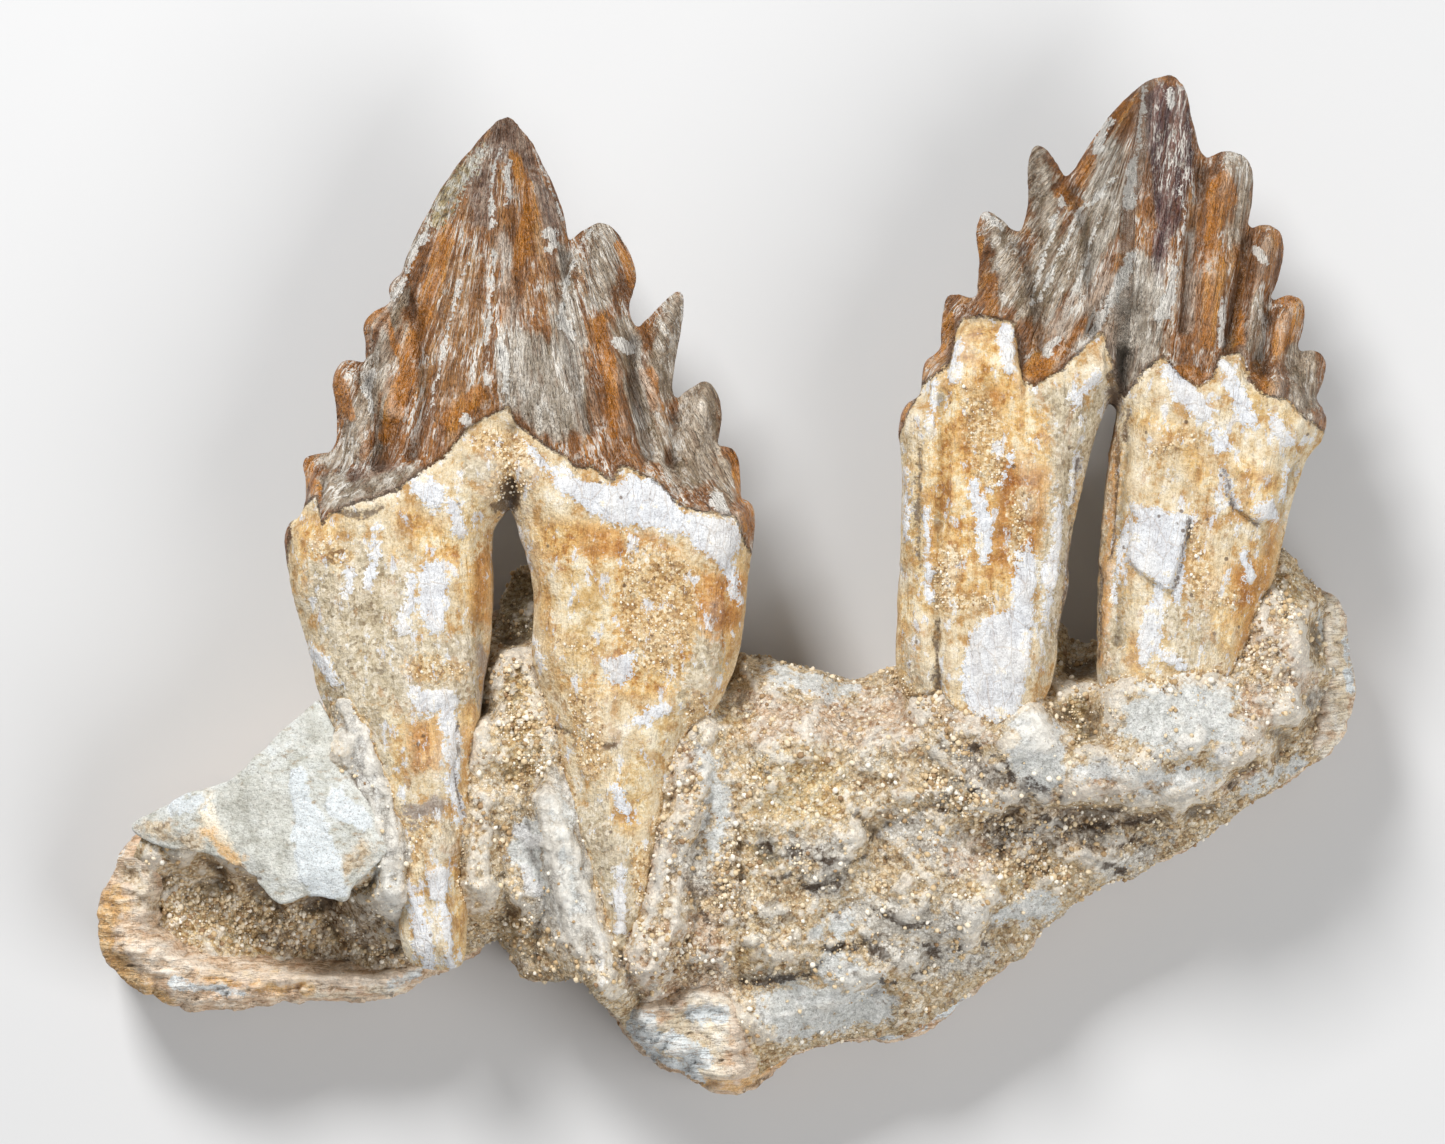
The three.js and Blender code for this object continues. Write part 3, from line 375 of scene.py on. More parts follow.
RIGHT_TOOTH_PATCHES = {
    "dust": [(1132, 262, 5, 1110, 306, 9, 1086, 342, 9, 1062, 374, 6), (1112, 318, 8, 1104, 350, 8),
        [1135, 256, 1156, 264, 1162, 320, 1156, 380, 1130, 392, 1112, 380, 1080, 380, 1108, 320],
        (1108, 150, 6, 1100, 220, 10, 1080, 290, 10, 1060, 330, 10), (1190, 240, 4, 1184, 330, 7),
        (1076, 310, 10, 1110, 290, 16, 1124, 330, 14, 1096, 366, 12)],
    "smooth": [[1130, 256, 1148, 284, 1122, 330, 1104, 356, 1082, 374, 1074, 350, 1104, 300]],
    "grey": [(1034, 150, 10, 1042, 200, 14, 1050, 250, 14), (1000, 222, 12, 1004, 260, 12, 1010, 300, 10),
        (1030, 300, 24, 1070, 260, 26, 1100, 220, 22, 1112, 150, 12), [1127, 282, 1158, 270, 1164, 372,
        1140, 400, 1112, 396, 1118, 330], (1240, 158, 14, 1242, 200, 9, 1234, 240, 6), (1300, 362, 18,
        1300, 395, 20), (1256, 300, 7, 1248, 350, 8), (1300, 425, 14), (1140, 270, 14, 1144, 330, 18,
        1138, 380, 14)],
    "amber": [(1114, 118, 5, 1134, 98, 5), (1094, 140, 5, 1104, 130, 4), (1080, 182, 5, 1088, 164, 8),
        [1219, 170, 1226, 172, 1236, 197, 1224, 216, 1214, 235, 1209, 280, 1206, 320, 1202, 320, 1202, 248,
        1205, 191], (1214, 250, 7, 1210, 300, 6, 1204, 345, 6), (1278, 236, 5, 1281, 256, 4), (1240, 268, 5,
        1236, 310, 6, 1238, 345, 5), (1286, 300, 8, 1298, 312, 8, 1284, 330, 9, 1276, 350, 6), (1060, 194, 7,
        1074, 204, 7), (992, 280, 6, 990, 312, 7), (950, 318, 6, 946, 356, 5), (928, 362, 5, 938, 358, 4),
        (904, 410, 4, 900, 436, 4), (980, 240, 3, 981, 258, 3), (1296, 446, 3, 1316, 440, 4, 1320, 425, 4),
        (1180, 372, 8, 1200, 384, 10), (1252, 370, 7, 1262, 392, 7), (1032, 372, 10, 1042, 360, 8),
        (1120, 262, 3, 1090, 306, 4, 1060, 352, 6, 1042, 376, 6)],
    "maroon": [[1144, 98, 1160, 84, 1184, 90, 1192, 120, 1197, 154, 1188, 185, 1180, 222, 1161, 246,
        1152, 212, 1144, 163], (1158, 240, 8, 1152, 280, 5)],
    "chalk": [(1130, 258, 3, 1115, 290, 5, 1100, 318, 5, 1088, 340, 4, 1070, 370, 4), (1172, 272, 4,
        1167, 298, 6, 1156, 320, 4), (1144, 88, 1.6, 1141, 122, 1.8, 1136, 150, 2.2, 1131, 206, 2.2),
        (1132, 165, 4, 1128, 205, 6), (1108, 122, 4, 1098, 150, 5), (1168, 92, 3, 1168, 108, 4),
        (1116, 178, 1.4, 1076, 216, 1.4, 1040, 300, 1.4), (1060, 200, 3, 1046, 250, 2, 1030, 304, 2),
        (1100, 220, 2, 1074, 290, 2), (1176, 190, 1.4, 1184, 214, 1.2, 1174, 262, 1.2), (1056, 340, 4,
        1046, 352, 5), (1160, 300, 3, 1164, 318, 3), (985, 216, 3, 1000, 228, 4), (1256, 250, 3,
        1264, 262, 4), (1220, 300, 2, 1218, 345, 3)],
    "shade": [(1124, 362, 6, 1120, 392, 8)],
    "tan": [(1100, 396, 12, 1090, 424, 14, 1078, 474, 10), (1042, 400, 12, 1072, 392, 12, 1084, 430, 8,
        1062, 480, 8), [1099, 413, 1126, 410, 1120, 520, 1122, 678, 1099, 678], (1170, 620, 14, 1180, 680, 16,
        1150, 690, 14), (1186, 590, 10, 1200, 640, 12), (1064, 560, 6, 1054, 640, 6), (910, 640, 8,
        916, 700, 10, 930, 740, 12), [1040, 390, 1076, 380, 1088, 420, 1072, 520, 1060, 640, 1040, 690,
        1036, 560, 1050, 470]],
    "ochre": [[958, 330, 990, 320, 1016, 330, 1020, 400, 1050, 400, 1054, 470, 1040, 560, 1000, 600, 930, 610,
        918, 480, 938, 380], (1140, 420, 9, 1180, 440, 9, 1200, 480, 10), (1236, 470, 8, 1262, 486, 14,
        1246, 506, 8), [1225, 566, 1280, 540, 1262, 612, 1236, 660, 1200, 640], (1120, 450, 5, 1122, 600, 5),
        (1196, 560, 10, 1206, 600, 12), (905, 600, 6, 904, 670, 6), (1130, 640, 8, 1140, 690, 8)],
    "orange": [[996, 463, 1042, 470, 1036, 540, 1014, 579, 992, 560], [1228, 566, 1262, 560, 1254, 600,
        1230, 620], (1272, 520, 5, 1262, 590, 5, 1240, 650, 5), (1112, 430, 3, 1106, 560, 3, 1103, 660, 3),
        (970, 440, 12, 990, 400, 10)],
    "sandy": [(1020, 500, 12, 1016, 560, 10), (950, 560, 14, 940, 600, 12, 984, 600, 10), (1190, 520, 6,
        1198, 590, 12, 1226, 600, 10), (905, 680, 8, 925, 730, 10), (1140, 690, 14, 1190, 690, 20,
        1226, 680, 14), (970, 390, 10, 980, 430, 20, 990, 480, 14), (1150, 450, 8, 1190, 440, 8)],
    "cream": [[903, 453, 916, 453, 920, 566, 936, 600, 930, 619, 916, 612, 904, 560], (1250, 404, 18,
        1280, 420, 16), (1160, 640, 10, 1166, 670, 8)],
    "purple": [(1070, 540, 3, 1062, 640, 4), (1112, 402, 7, 1106, 430, 5)],
    "white": [[1013, 556, 1028, 534, 1036, 566, 1029, 645, 1016, 712, 1006, 731, 973, 712, 959, 690, 966, 635,
        983, 619, 1009, 605], (973, 486, 5, 982, 520, 9, 984, 560, 5), (1012, 456, 3, 998, 484, 4),
        (1056, 500, 4, 1050, 560, 5, 1042, 620, 4), (1076, 456, 4, 1070, 500, 5), (908, 470, 3, 907, 540, 3),
        (924, 510, 3, 928, 600, 4), (935, 385, 3, 928, 430, 4), [1129, 504, 1152, 508, 1186, 517, 1182, 546,
        1172, 572, 1166, 592, 1142, 579, 1124, 561], (1156, 586, 4, 1152, 650, 6), (1178, 552, 5,
        1174, 596, 6), (1219, 468, 3, 1223, 490, 4, 1234, 508, 3), [1250, 522, 1250, 506, 1270, 498,
        1277, 521], [1202, 430, 1226, 432, 1228, 450, 1212, 456], (1266, 420, 6, 1284, 440, 7), (1166, 372, 8,
        1180, 396, 12, 1200, 412, 10), (1220, 366, 5, 1228, 390, 8, 1246, 420, 10), (1240, 554, 4,
        1246, 576, 5), (1126, 520, 3, 1112, 600, 3), (1150, 612, 8, 1140, 660, 5), (1004, 332, 8,
        1006, 372, 6), (960, 345, 4, 950, 380, 5), (1092, 380, 6, 1072, 400, 7), (1280, 500, 3, 1284, 470, 3),
        (1164, 656, 6, 1180, 664, 6)],
    "dirt": [(1117, 380, 8, 1112, 405, 5), (916, 453, 1.3, 916, 566, 1.3), (936, 620, 2, 936, 690, 3,
        960, 724, 3), (1219, 470, 1.4, 1230, 512, 1.6, 1252, 524, 1.6), (1116, 420, 1, 1110, 560, 1.2),
        (1126, 412, 2, 1122, 440, 2), (1186, 520, 1, 1170, 592, 1), (1098, 500, 2, 1097, 660, 2),
        (1076, 460, 1, 1068, 560, 1, 1058, 640, 1)],
}
PLATE_PATCHES = {
    "white": [[292, 766, 306, 764, 316, 800, 336, 830, 350, 896, 312, 898, 300, 860, 296, 810], (340, 800, 12,
        364, 820, 10), (180, 806, 10, 202, 800, 8)],
    "grey": [[216, 790, 262, 770, 292, 790, 296, 840, 290, 880, 240, 862, 216, 830], (330, 712, 5,
        352, 750, 8, 372, 800, 6), (312, 718, 9, 322, 748, 14)],
    "cream": [(206, 800, 8, 212, 830, 10, 236, 856, 6)],
    "ochre": [(208, 832, 4, 240, 862, 3)],
    "tan": [(150, 828, 8, 180, 838, 9, 204, 846, 6), (366, 850, 10, 352, 868, 8)],
    "dirt": [(340, 730, 1.2, 356, 770, 1.2, 384, 820, 1.4), (240, 868, 2, 262, 880, 2)],
}
MATRIX_PATCHES = {
    "pink": [(150, 862, 6, 136, 905, 10, 146, 945, 12, 190, 968, 10, 300, 972, 6), [729, 691, 800, 700,
        900, 691, 930, 720, 900, 742, 780, 740, 729, 739], [630, 919, 729, 910, 735, 1000, 650, 1010,
        620, 970], (560, 720, 12, 600, 730, 14, 610, 780, 12), (940, 700, 18, 980, 735, 10), (1056, 790, 14,
        1150, 782, 16, 1220, 788, 10), (1260, 640, 26, 1300, 680, 20), (650, 840, 20, 640, 900, 14),
        (690, 780, 24, 680, 720, 14), (960, 860, 16, 1040, 850, 12), (1256, 700, 20, 1244, 770, 12)],
    "gold": [[741, 764, 800, 742, 845, 770, 840, 818, 800, 826, 770, 812], [500, 655, 556, 655, 561, 700,
        552, 780, 500, 784], (744, 810, 8, 750, 860, 8, 744, 960, 5), (975, 892, 6, 1050, 870, 6),
        (1266, 560, 10, 1290, 600, 12), (1056, 650, 8, 1080, 720, 10), (740, 1030, 16, 750, 1080, 14),
        (350, 960, 12, 250, 950, 14, 170, 920, 16), (690, 730, 14, 740, 720, 12)],
    "olive": [(516, 590, 16, 516, 640, 18), (1076, 690, 10, 1080, 740, 8), (770, 850, 16)],
    "grey": [(900, 830, 18, 960, 850, 16, 985, 868, 10), (885, 950, 16, 950, 960, 18, 985, 955, 10),
        (860, 915, 20, 920, 925, 24, 985, 915, 16), (540, 860, 26, 560, 920, 26, 590, 860, 12),
        (1310, 700, 14, 1326, 690, 8), (700, 880, 14, 690, 850, 12), (720, 800, 12, 712, 840, 10),
        (360, 780, 12, 380, 840, 12), (640, 850, 12, 670, 860, 12), (1110, 870, 12, 1150, 858, 12),
        (980, 770, 16, 950, 760, 12), (775, 850, 10, 830, 845, 16, 820, 880, 12), (350, 700, 12, 372, 760, 14,
        392, 840, 12)],
    "pale": [[1013, 712, 1040, 706, 1064, 740, 1066, 790, 1040, 800, 1016, 790, 1008, 760], [1115, 700,
        1180, 678, 1236, 690, 1238, 746, 1180, 752, 1118, 742], (813, 930, 8, 850, 926, 10), (780, 672, 12,
        845, 688, 12), [522, 822, 550, 826, 548, 890, 524, 880, 508, 846], (706, 760, 8, 722, 800, 12,
        714, 846, 8), (790, 1010, 30, 870, 1010, 22), (1006, 915, 10, 1050, 905, 12), (1140, 790, 6,
        1190, 784, 8), (1074, 770, 6, 1140, 776, 7, 1216, 772, 7), (1320, 620, 8, 1344, 660, 10,
        1350, 720, 8), (1240, 800, 6, 1300, 764, 8), (560, 800, 10, 575, 900, 8), (830, 965, 14,
        870, 985, 14), (386, 870, 8, 396, 920, 8), (1140, 690, 12, 1160, 700, 12)],
    "white": [(526, 868, 6, 534, 892, 9), (520, 830, 7, 536, 842, 8), (1180, 741, 8), (1221, 750, 10),
        (1184, 785, 3, 1196, 780, 4), (602, 935, 3, 602, 980, 4)],
    # Painted shade, also sunk as hollows: the recess under the cement ledge below the right tooth, the canal
    # under the plate, the long seam and a few small places
    "dark": [(963, 745, 10, 1000, 790, 16, 1040, 815, 14, 1100, 822, 14, 1160, 812, 12), (990, 820, 14,
        1060, 840, 18, 1120, 845, 10), (190, 852, 8, 240, 875, 10, 290, 900, 12, 340, 905, 14, 385, 925, 12),
        (330, 930, 14, 390, 950, 12, 410, 965, 8), (270, 945, 10, 330, 958, 12, 380, 962, 8), (672, 880, 12,
        700, 895, 8), (735, 800, 3, 742, 870, 5, 738, 940, 4), (486, 948, 8, 520, 972, 6)],
    "coarse": [[500, 655, 560, 655, 566, 720, 552, 790, 496, 784], (560, 720, 16, 580, 770, 12),
        (680, 720, 18, 690, 790, 16), (722, 810, 12, 730, 870, 14, 728, 960, 10), (1240, 620, 18,
        1262, 660, 22, 1226, 650, 14), (1262, 580, 14, 1296, 620, 16), (1060, 660, 12, 1080, 740, 14),
        (180, 910, 26, 260, 930, 24, 340, 940, 26, 400, 955, 12), (840, 960, 22, 870, 985, 20), (930, 700, 14,
        960, 750, 12), (520, 930, 20), (1180, 700, 26, 1140, 680, 14), (620, 800, 26), (1000, 860, 20,
        1060, 870, 16, 940, 780, 20), (680, 960, 26, 640, 930, 14)],
    "flow": [(560, 790, 26, 570, 900, 26, 600, 960, 10), (352, 712, 14, 374, 770, 17, 392, 850, 16,
        398, 905, 12)],
    # Painted shade, laid on as dark grey sand: the recess under the cement ledge, the crevice left of the
    # cement, and along cracks
    "crevice_shade": [(1040, 826, 8, 1090, 840, 9, 1146, 834, 6), (988, 806, 9, 1012, 838, 9), (940, 752, 7,
        950, 786, 8), (764, 838, 8, 800, 862, 12, 840, 880, 10), (765, 905, 8, 800, 925, 10), (960, 750, 8,
        1000, 782, 12, 1034, 806, 8), (745, 980, 6, 800, 972, 8)],
    # Dark lines: real cracks, and painted shadow lines under ledges and rims, such as the one below the pink
    # rim under the right tooth
    "crack": [(1030, 812, 1.8, 1062, 826, 2.6, 1104, 828, 2.4, 1150, 822, 1.8), (1000, 850, 1.6,
        1024, 866, 2.2, 1050, 872, 1.6), (955, 770, 1.8, 976, 792, 2.4, 992, 816, 1.8), (857, 814, 2,
        866, 829, 2, 877, 846, 2, 889, 860, 1.6), (760, 843, 1.6, 777, 847, 2, 800, 849, 2, 823, 846, 1.4),
        (768, 880, 1.6, 789, 874, 2, 811, 886, 2, 834, 883, 1.6), (657, 831, 1.4, 660, 860, 1.8,
        657, 894, 1.4), (825, 948, 2.4, 861, 944, 2.8, 886, 954, 2), (743, 983, 2, 779, 981, 2.2, 807, 976, 2,
        825, 961, 1.6), (971, 744, 2, 1000, 762, 2.6, 1014, 779, 2.6, 1036, 797, 2.4), (1014, 778, 2,
        1071, 801, 2.6, 1128, 808, 2.6, 1200, 794, 2.4, 1229, 786, 2), (1025, 836, 1.8, 1057, 854, 2.2,
        1089, 854, 2, 1107, 867, 2, 1129, 876, 2), (1104, 847, 1.6, 1129, 844, 1.8, 1157, 844, 1.6),
        (943, 811, 1.6, 986, 804, 2, 1014, 801, 1.6), (914, 940, 1.6, 943, 954, 2, 986, 947, 1.6),
        (893, 890, 1.6, 914, 911, 1.8, 936, 908, 1.4), (793, 853, 1.4, 829, 862, 1.8, 871, 855, 1.4),
        (700, 905, 1.6, 712, 930, 1.8, 704, 960, 1.4), (870, 905, 1.6, 905, 925, 1.8, 930, 922, 1.4),
        (860, 975, 1.6, 890, 985, 1.8, 925, 975, 1.6)],
}
JAW_PATCHES = {
    "ochre": [(110, 900, 14, 100, 940, 12, 120, 985, 12, 160, 1000, 10), (200, 985, 8, 300, 992, 6),
        (690, 1082, 7, 740, 1088, 8, 780, 1070, 6)],
    "white": [(640, 1034, 8, 672, 1044, 12, 700, 1056, 14), (690, 1012, 8, 722, 1014, 8), (668, 1066, 6,
        700, 1080, 6), (170, 985, 5, 240, 995, 5), (390, 985, 5, 415, 978, 4), (880, 1042, 4, 930, 1030, 4,
        968, 1002, 4), (1350, 640, 3, 1354, 690, 4), (100, 870, 6, 112, 850, 6), (622, 1012, 6,
        650, 1024, 10), (630, 1030, 5, 652, 1056, 6, 690, 1076, 6)],
    "cream": [[614, 1018, 662, 1018, 689, 997, 732, 1001, 722, 1062, 737, 1088, 700, 1085, 650, 1065],
        (300, 1000, 4, 400, 994, 3), (1300, 772, 8, 1340, 745, 6), (1330, 600, 10, 1346, 650, 14,
        1344, 720, 12)],
    "tan": [(130, 870, 12, 150, 900, 12)],
    "dirt": [(245, 985, 2, 252, 1012, 2), (300, 1006, 2, 400, 1000, 2), (745, 1096, 4, 780, 1078, 4)],
}
PATCH_NAMES = {
    "tooth": ("smooth", "dull", "grey", "dust", "amber", "maroon", "crust", "chalk", "shade", "tan",
              "ochre", "orange", "sandy", "cream", "purple", "white", "dirt"),
    "bone": ("white", "grey", "cream", "ochre", "tan", "dirt"),
    "matrix": ("pink", "gold", "olive", "grey", "pale", "white", "dark", "coarse", "flow", "crevice_shade", "crack"),
}
# Each tooth keeps at most this many triangles
TOOTH_TRIANGLES = 180000
# Masks hold how far inside a patch a point lies, up to this many millimetres each way
PATCH_REACH = 3.0

# Noise layers: their height and the size of their lumps in millimetres, octaves, seed and gain
LAYERS = {
    "enamel folds": (0.32, (2.2, 34, 8), 3, 11),
    "enamel creases": (0.3, (1.6, 20, 6), 2, 23),
    "root fibres": (0.5, (5, 60, 12), 3, 37),
    "fine fibres": (0.12, (1.6, 20, 8), 2, 41),
    "sand contact": (0.8, 3, 2, 67),
    "sand crumbs": (0.3, 1.7, 2, 61),
    "flake rims": (0.25, (1.5, 8, 3), 2, 71),
    "root swellings": (0.6, 9, 5, 73),
    "enamel crust": (1.0, 1.5, 2, 79),
    "plate waves": (0.6, 14, 3, 3),
    "plate grain": (0.22, 7, 4, 71),
    "plate crust": (1.0, 1.5, 2, 72),
    "jaw layers": (1.0, (14, 2.4), 4, 81),
    "jaw waves": (1.6, (11, 8), 4, 83),
    "jaw pits": (0.9, (2.6, 1.3), 3, 85),
    "jaw cracks": (0.9, (7, 3.4), 3, 89),
    "jaw side": (0.7, (8, 8, 1.2), 3, 86),
    "level shift across": (1.0, 9, 2, 91),
    "level shift up": (1.0, 9, 2, 92),
    "root collar": (1.4, 7, 2, 99),
    "bank lumps": (1.2, 6, 3, 104),
    "boulders": (1.2, 13, 2, 93),
    "ledges": (1.0, (15, 7), 3, 94),
    "rock crumbs": (0.6, 4.2, 4, 95, 0.62),
    "strands": (0.35, (1.6, 16), 3, 100),
    "hollows": (1.0, 5, 2, 101),
    "edge crumbs": (0.35, 2.2, 2, 98),
    "rock side": (0.6, (3, 3, 2), 3, 102),
    "grain drifts": (1.0, 6, 2, 103),
}
LEVEL_SHIFT = 1.5

# Heights and depths of small forms on the surface in millimetres
ENAMEL_STEP = 0.3
CHALK_HEIGHT = 0.18
CRUST_HEIGHT = 0.3
WHITE_FLAKE_HEIGHT = 0.35
ROOT_CRACK_DEPTH = 0.45
CLINGING_SAND_HEIGHT = 0.12
SAND_REACH = 1.1
PLATE_FLAKE_HEIGHT = 0.3
PLATE_CRUST_HEIGHT = 0.2
PLATE_CRACK_DEPTH = 0.5
JAW_PEBBLE_HEIGHT = 0.9
CHIP_HEIGHT = 0.45
HOLLOW_DEPTH = 0.9
DIAGONAL_CRACK_DEPTH = 1.3
DIAGONAL_CRACK_WIDTH = 0.8
SEAM_DEPTH = 0.6
SEAM_WIDTH = 1.4

# Raised flakes on the roots: corners in photograph pixels and height in millimetres
ROOT_FLAKES = [
    ([(1129, 504), (1152, 508), (1186, 517), (1182, 546), (1172, 572), (1166, 592), (1142, 579),
      (1124, 561)], 1.4),
    ([(1219, 466), (1222, 490), (1232, 512), (1250, 523), (1277, 522), (1286, 480), (1262, 470),
      (1240, 462)], 1.3),
]
# The right tooth's left root has lost its surface inside this outline
ROOT_STEP = [
    (880, 700), (915, 694), (937, 688), (952, 704), (968, 720), (990, 727), (1007, 738), (1020, 716),
    (1036, 700), (1050, 694), (1075, 706), (1075, 800), (880, 800),
]
STEP_DROP = 3.0
# Axes of the roots, along which their fibres run
LEFT_TOOTH_AXES = ([(400, 500), (440, 960)], [(640, 500), (622, 960)])
RIGHT_TOOTH_AXES = ([(975, 380), (985, 760)], [(1215, 400), (1160, 760)])
LEFT_GAP = [(512, 400), (512, 520), (514, 660), (530, 960)]
RIGHT_GAP = [(1112, 300), (1108, 500), (1078, 700), (1070, 780)]
# Enamel streaks fan out from these places
LEFT_FAN = (510, 42)
RIGHT_FAN = (1161, 52)
RIGHT_KEEL = [(1146, 88), (1140, 140), (1126, 210), (1120, 330), (1118, 420)]
RIGHT_STREAK_LEAN = 0.17


def to_mm(pixels):
    """Photograph pixels as millimetres in the row frame."""
    pixels = np.asarray(pixels, float)
    x = (pixels[..., 0] - (PHOTO_LEFT + PHOTO_RIGHT) / 2) * MM_PER_PIXEL
    y = ((PHOTO_TOP + PHOTO_BOTTOM) / 2 - pixels[..., 1]) * MM_PER_PIXEL
    return np.stack((x, y), axis=-1)


def smoothstep(low, high, values):
    """Zero below low, one above high, smooth between."""
    share = np.clip((values - low) / (high - low), 0, 1)
    return share * share * (3 - 2 * share)


def smooth_line(pixels, step):
    """Points along a smooth curve through pixels, without its last point."""
    corners = to_mm(pixels)
    samples = []
    for index in range(len(corners) - 1):
        start, end = corners[index], corners[index + 1]
        before = corners[max(index - 1, 0)]
        after = corners[min(index + 2, len(corners) - 1)]
        count = max(1, round(float(np.linalg.norm(end - start)) / step))
        share = (np.arange(count) / count)[:, None]
        leaving, arriving = (end - before) / 2, (after - start) / 2
        samples.append((2 * start - 2 * end + leaving + arriving) * share**3
                       + (3 * end - 3 * start - 2 * leaving - arriving) * share**2
                       + leaving * share + start)
    return np.vstack(samples)


def ring_from(strokes, step=0.8):
    """A closed counterclockwise ring along the strokes of an outline."""
    parts = [smooth_line([*stroke, strokes[(index + 1) % len(strokes)][0]], step)
             for index, stroke in enumerate(strokes)]
    ring = np.vstack(parts)
    after = np.roll(ring, -1, axis=0)
    area = np.sum(ring[:, 0] * after[:, 1] - after[:, 0] * ring[:, 1])
    return ring if area > 0 else ring[::-1]


def nearest_on_segments(points, starts, ends, chunk=4096):
    """The distance to the nearest of some segments and the nearest point there, for each point."""
    along = (ends - starts).astype(np.float32)
    length = np.maximum((along**2).sum(1), 1e-9)
    distance = np.empty(len(points), np.float32)
    nearest = np.empty((len(points), 2), np.float32)
    for first in range(0, len(points), chunk):
        part = points[first:first + chunk].astype(np.float32)
        offset = part[:, None, :] - starts[None].astype(np.float32)
        share = np.clip((offset * along).sum(2) / length, 0, 1)
        gap = ((offset - along * share[..., None]) ** 2).sum(2)
        best = gap.argmin(1)
        rows = np.arange(len(part))
        distance[first:first + chunk] = np.sqrt(gap[rows, best])
        nearest[first:first + chunk] = starts[best] + along[best] * share[rows, best, None]
    return distance, nearest


def line_distance(points, pixels):
    """Distance in millimetres from points to a line of photograph pixels."""
    corners = to_mm(pixels)
    return nearest_on_segments(points, corners[:-1], corners[1:])[0]


def inside_ring(points, ring):
    """Whether each point lies inside a closed ring."""
    inside = np.zeros(len(points), bool)
    for start, end in zip(ring, np.roll(ring, -1, axis=0)):
        crosses = (start[1] > points[:, 1]) != (end[1] > points[:, 1])
        rise = (end[1] - start[1]) or 1e-9
        at = start[0] + (points[:, 1] - start[1]) * (end[0] - start[0]) / rise
        inside ^= crosses & (points[:, 0] < at)
    return inside


def stroke_depth(points, corners, widths):
    """How far inside a stroke of changing half width each point lies."""
    deepest = np.full(len(points), -np.inf)
    last = len(corners) - 1
    for index in range(max(1, last)):
        after = min(index + 1, last)
        along = corners[after] - corners[index]
        share = np.clip((points - corners[index]) @ along / max(along @ along, 1e-9), 0, 1)
        gap = np.hypot(*(points - corners[index] - share[:, None] * along).T)
        width = widths[index] + (widths[after] - widths[index]) * share
        deepest = np.maximum(deepest, width - gap)
    return deepest


def patch_depth(points, patches):
    """How far inside the nearest patch each point lies, in millimetres, and below zero outside."""
    deepest = np.full(len(points), -PATCH_REACH)
    for patch in patches:
        is_stroke = isinstance(patch, tuple)
        table = np.reshape(patch, (-1, 3 if is_stroke else 2)).astype(float)
        corners = to_mm(table[:, :2])
        widths = table[:, 2:].ravel() * MM_PER_PIXEL
        reach = PATCH_REACH + (widths.max() if is_stroke else 0)
        near = ((points > corners.min(0) - reach) & (points < corners.max(0) + reach)).all(1)
        if not near.any():
            continue
        if is_stroke:
            depth = stroke_depth(points[near], corners, widths)
        else:
            depth = nearest_on_segments(points[near], corners, np.roll(corners, -1, axis=0))[0]
            depth = np.where(inside_ring(points[near], corners), depth, -depth)
        deepest[near] = np.maximum(deepest[near], depth)
    return np.minimum(deepest, PATCH_REACH)


def masks_for(points, patches, names):
    """The depth inside every named kind of patch, with uneven rims."""
    masks = {}
    for index, name in enumerate(names):
        seed = 5 + 3 * index
        warp = np.column_stack((rough(points, 4, 2, seed), rough(points, 4, 2, seed + 50)))
        masks[name] = patch_depth(points + PATCH_WARP * warp, patches.get(name, ()))
    return masks


def scatter(cells, seed):
    """A repeatable number between 0 and 1 for each row of whole numbers."""
    mixed = np.full(len(cells), 2166136261 + 977 * seed, np.uint32)
    for axis in range(cells.shape[1]):
        mixed = (mixed ^ cells[:, axis].astype(np.uint32)) * np.uint32(16777619)
        mixed ^= mixed >> np.uint32(15)
        mixed = mixed * np.uint32(2246822519)
        mixed ^= mixed >> np.uint32(13)
    return mixed.astype(np.float64) / 4294967296


def lumps(points, size, seed=0):
    """Smooth lumps, mostly between -1 and 1. size is one number, or one for each axis."""
    scaled = points / np.asarray(size, float)
    cells = np.floor(scaled).astype(np.int64)
    share = scaled - cells
    ease = share**3 * (share * (share * 6 - 15) + 10)
    total = np.zeros(len(points))
    for corner in itertools.product((0, 1), repeat=points.shape[1]):
        weight = np.prod(np.where(corner, ease, 1 - ease), axis=1)
        slope = sum((2 * scatter(cells + corner, seed + 31 * axis) - 1) * (share[:, axis] - corner[axis])
                    for axis in range(points.shape[1]))
        total += weight * slope
    return 1.7 * total


def rough(points, size, octaves=4, seed=0, gain=0.5):
    """Lumps on lumps, each layer half the size of the one before."""
    size = np.asarray(size, float)
    return sum(gain**layer * lumps(points, size / 2**layer, seed + 101 * layer) for layer in range(octaves))


def noise_layer(name, points):
    """One of the named noise layers at the given points, in millimetres."""
    height, *rest = LAYERS[name]
    return height * rough(points, *rest)


def pebbles(points, size, seed=0):
    """Round bumps from 0 to 1 around scattered points, one to a square of the given size."""
    scaled = points / size
    base = np.floor(scaled).astype(np.int64)
    height = np.zeros(len(points))
    for offset in itertools.product((-1, 0, 1), repeat=2):
        cell = base + offset
        spot = cell + np.column_stack((scatter(cell, seed), scatter(cell, seed + 7)))
        radius = 0.35 + 0.4 * scatter(cell, seed + 13)
        share = np.clip(1 - ((scaled - spot) ** 2).sum(1) / radius**2, 0, 1)
        height = np.maximum(height, np.sqrt(share) * radius * (0.5 + scatter(cell, seed + 17)))
    return height


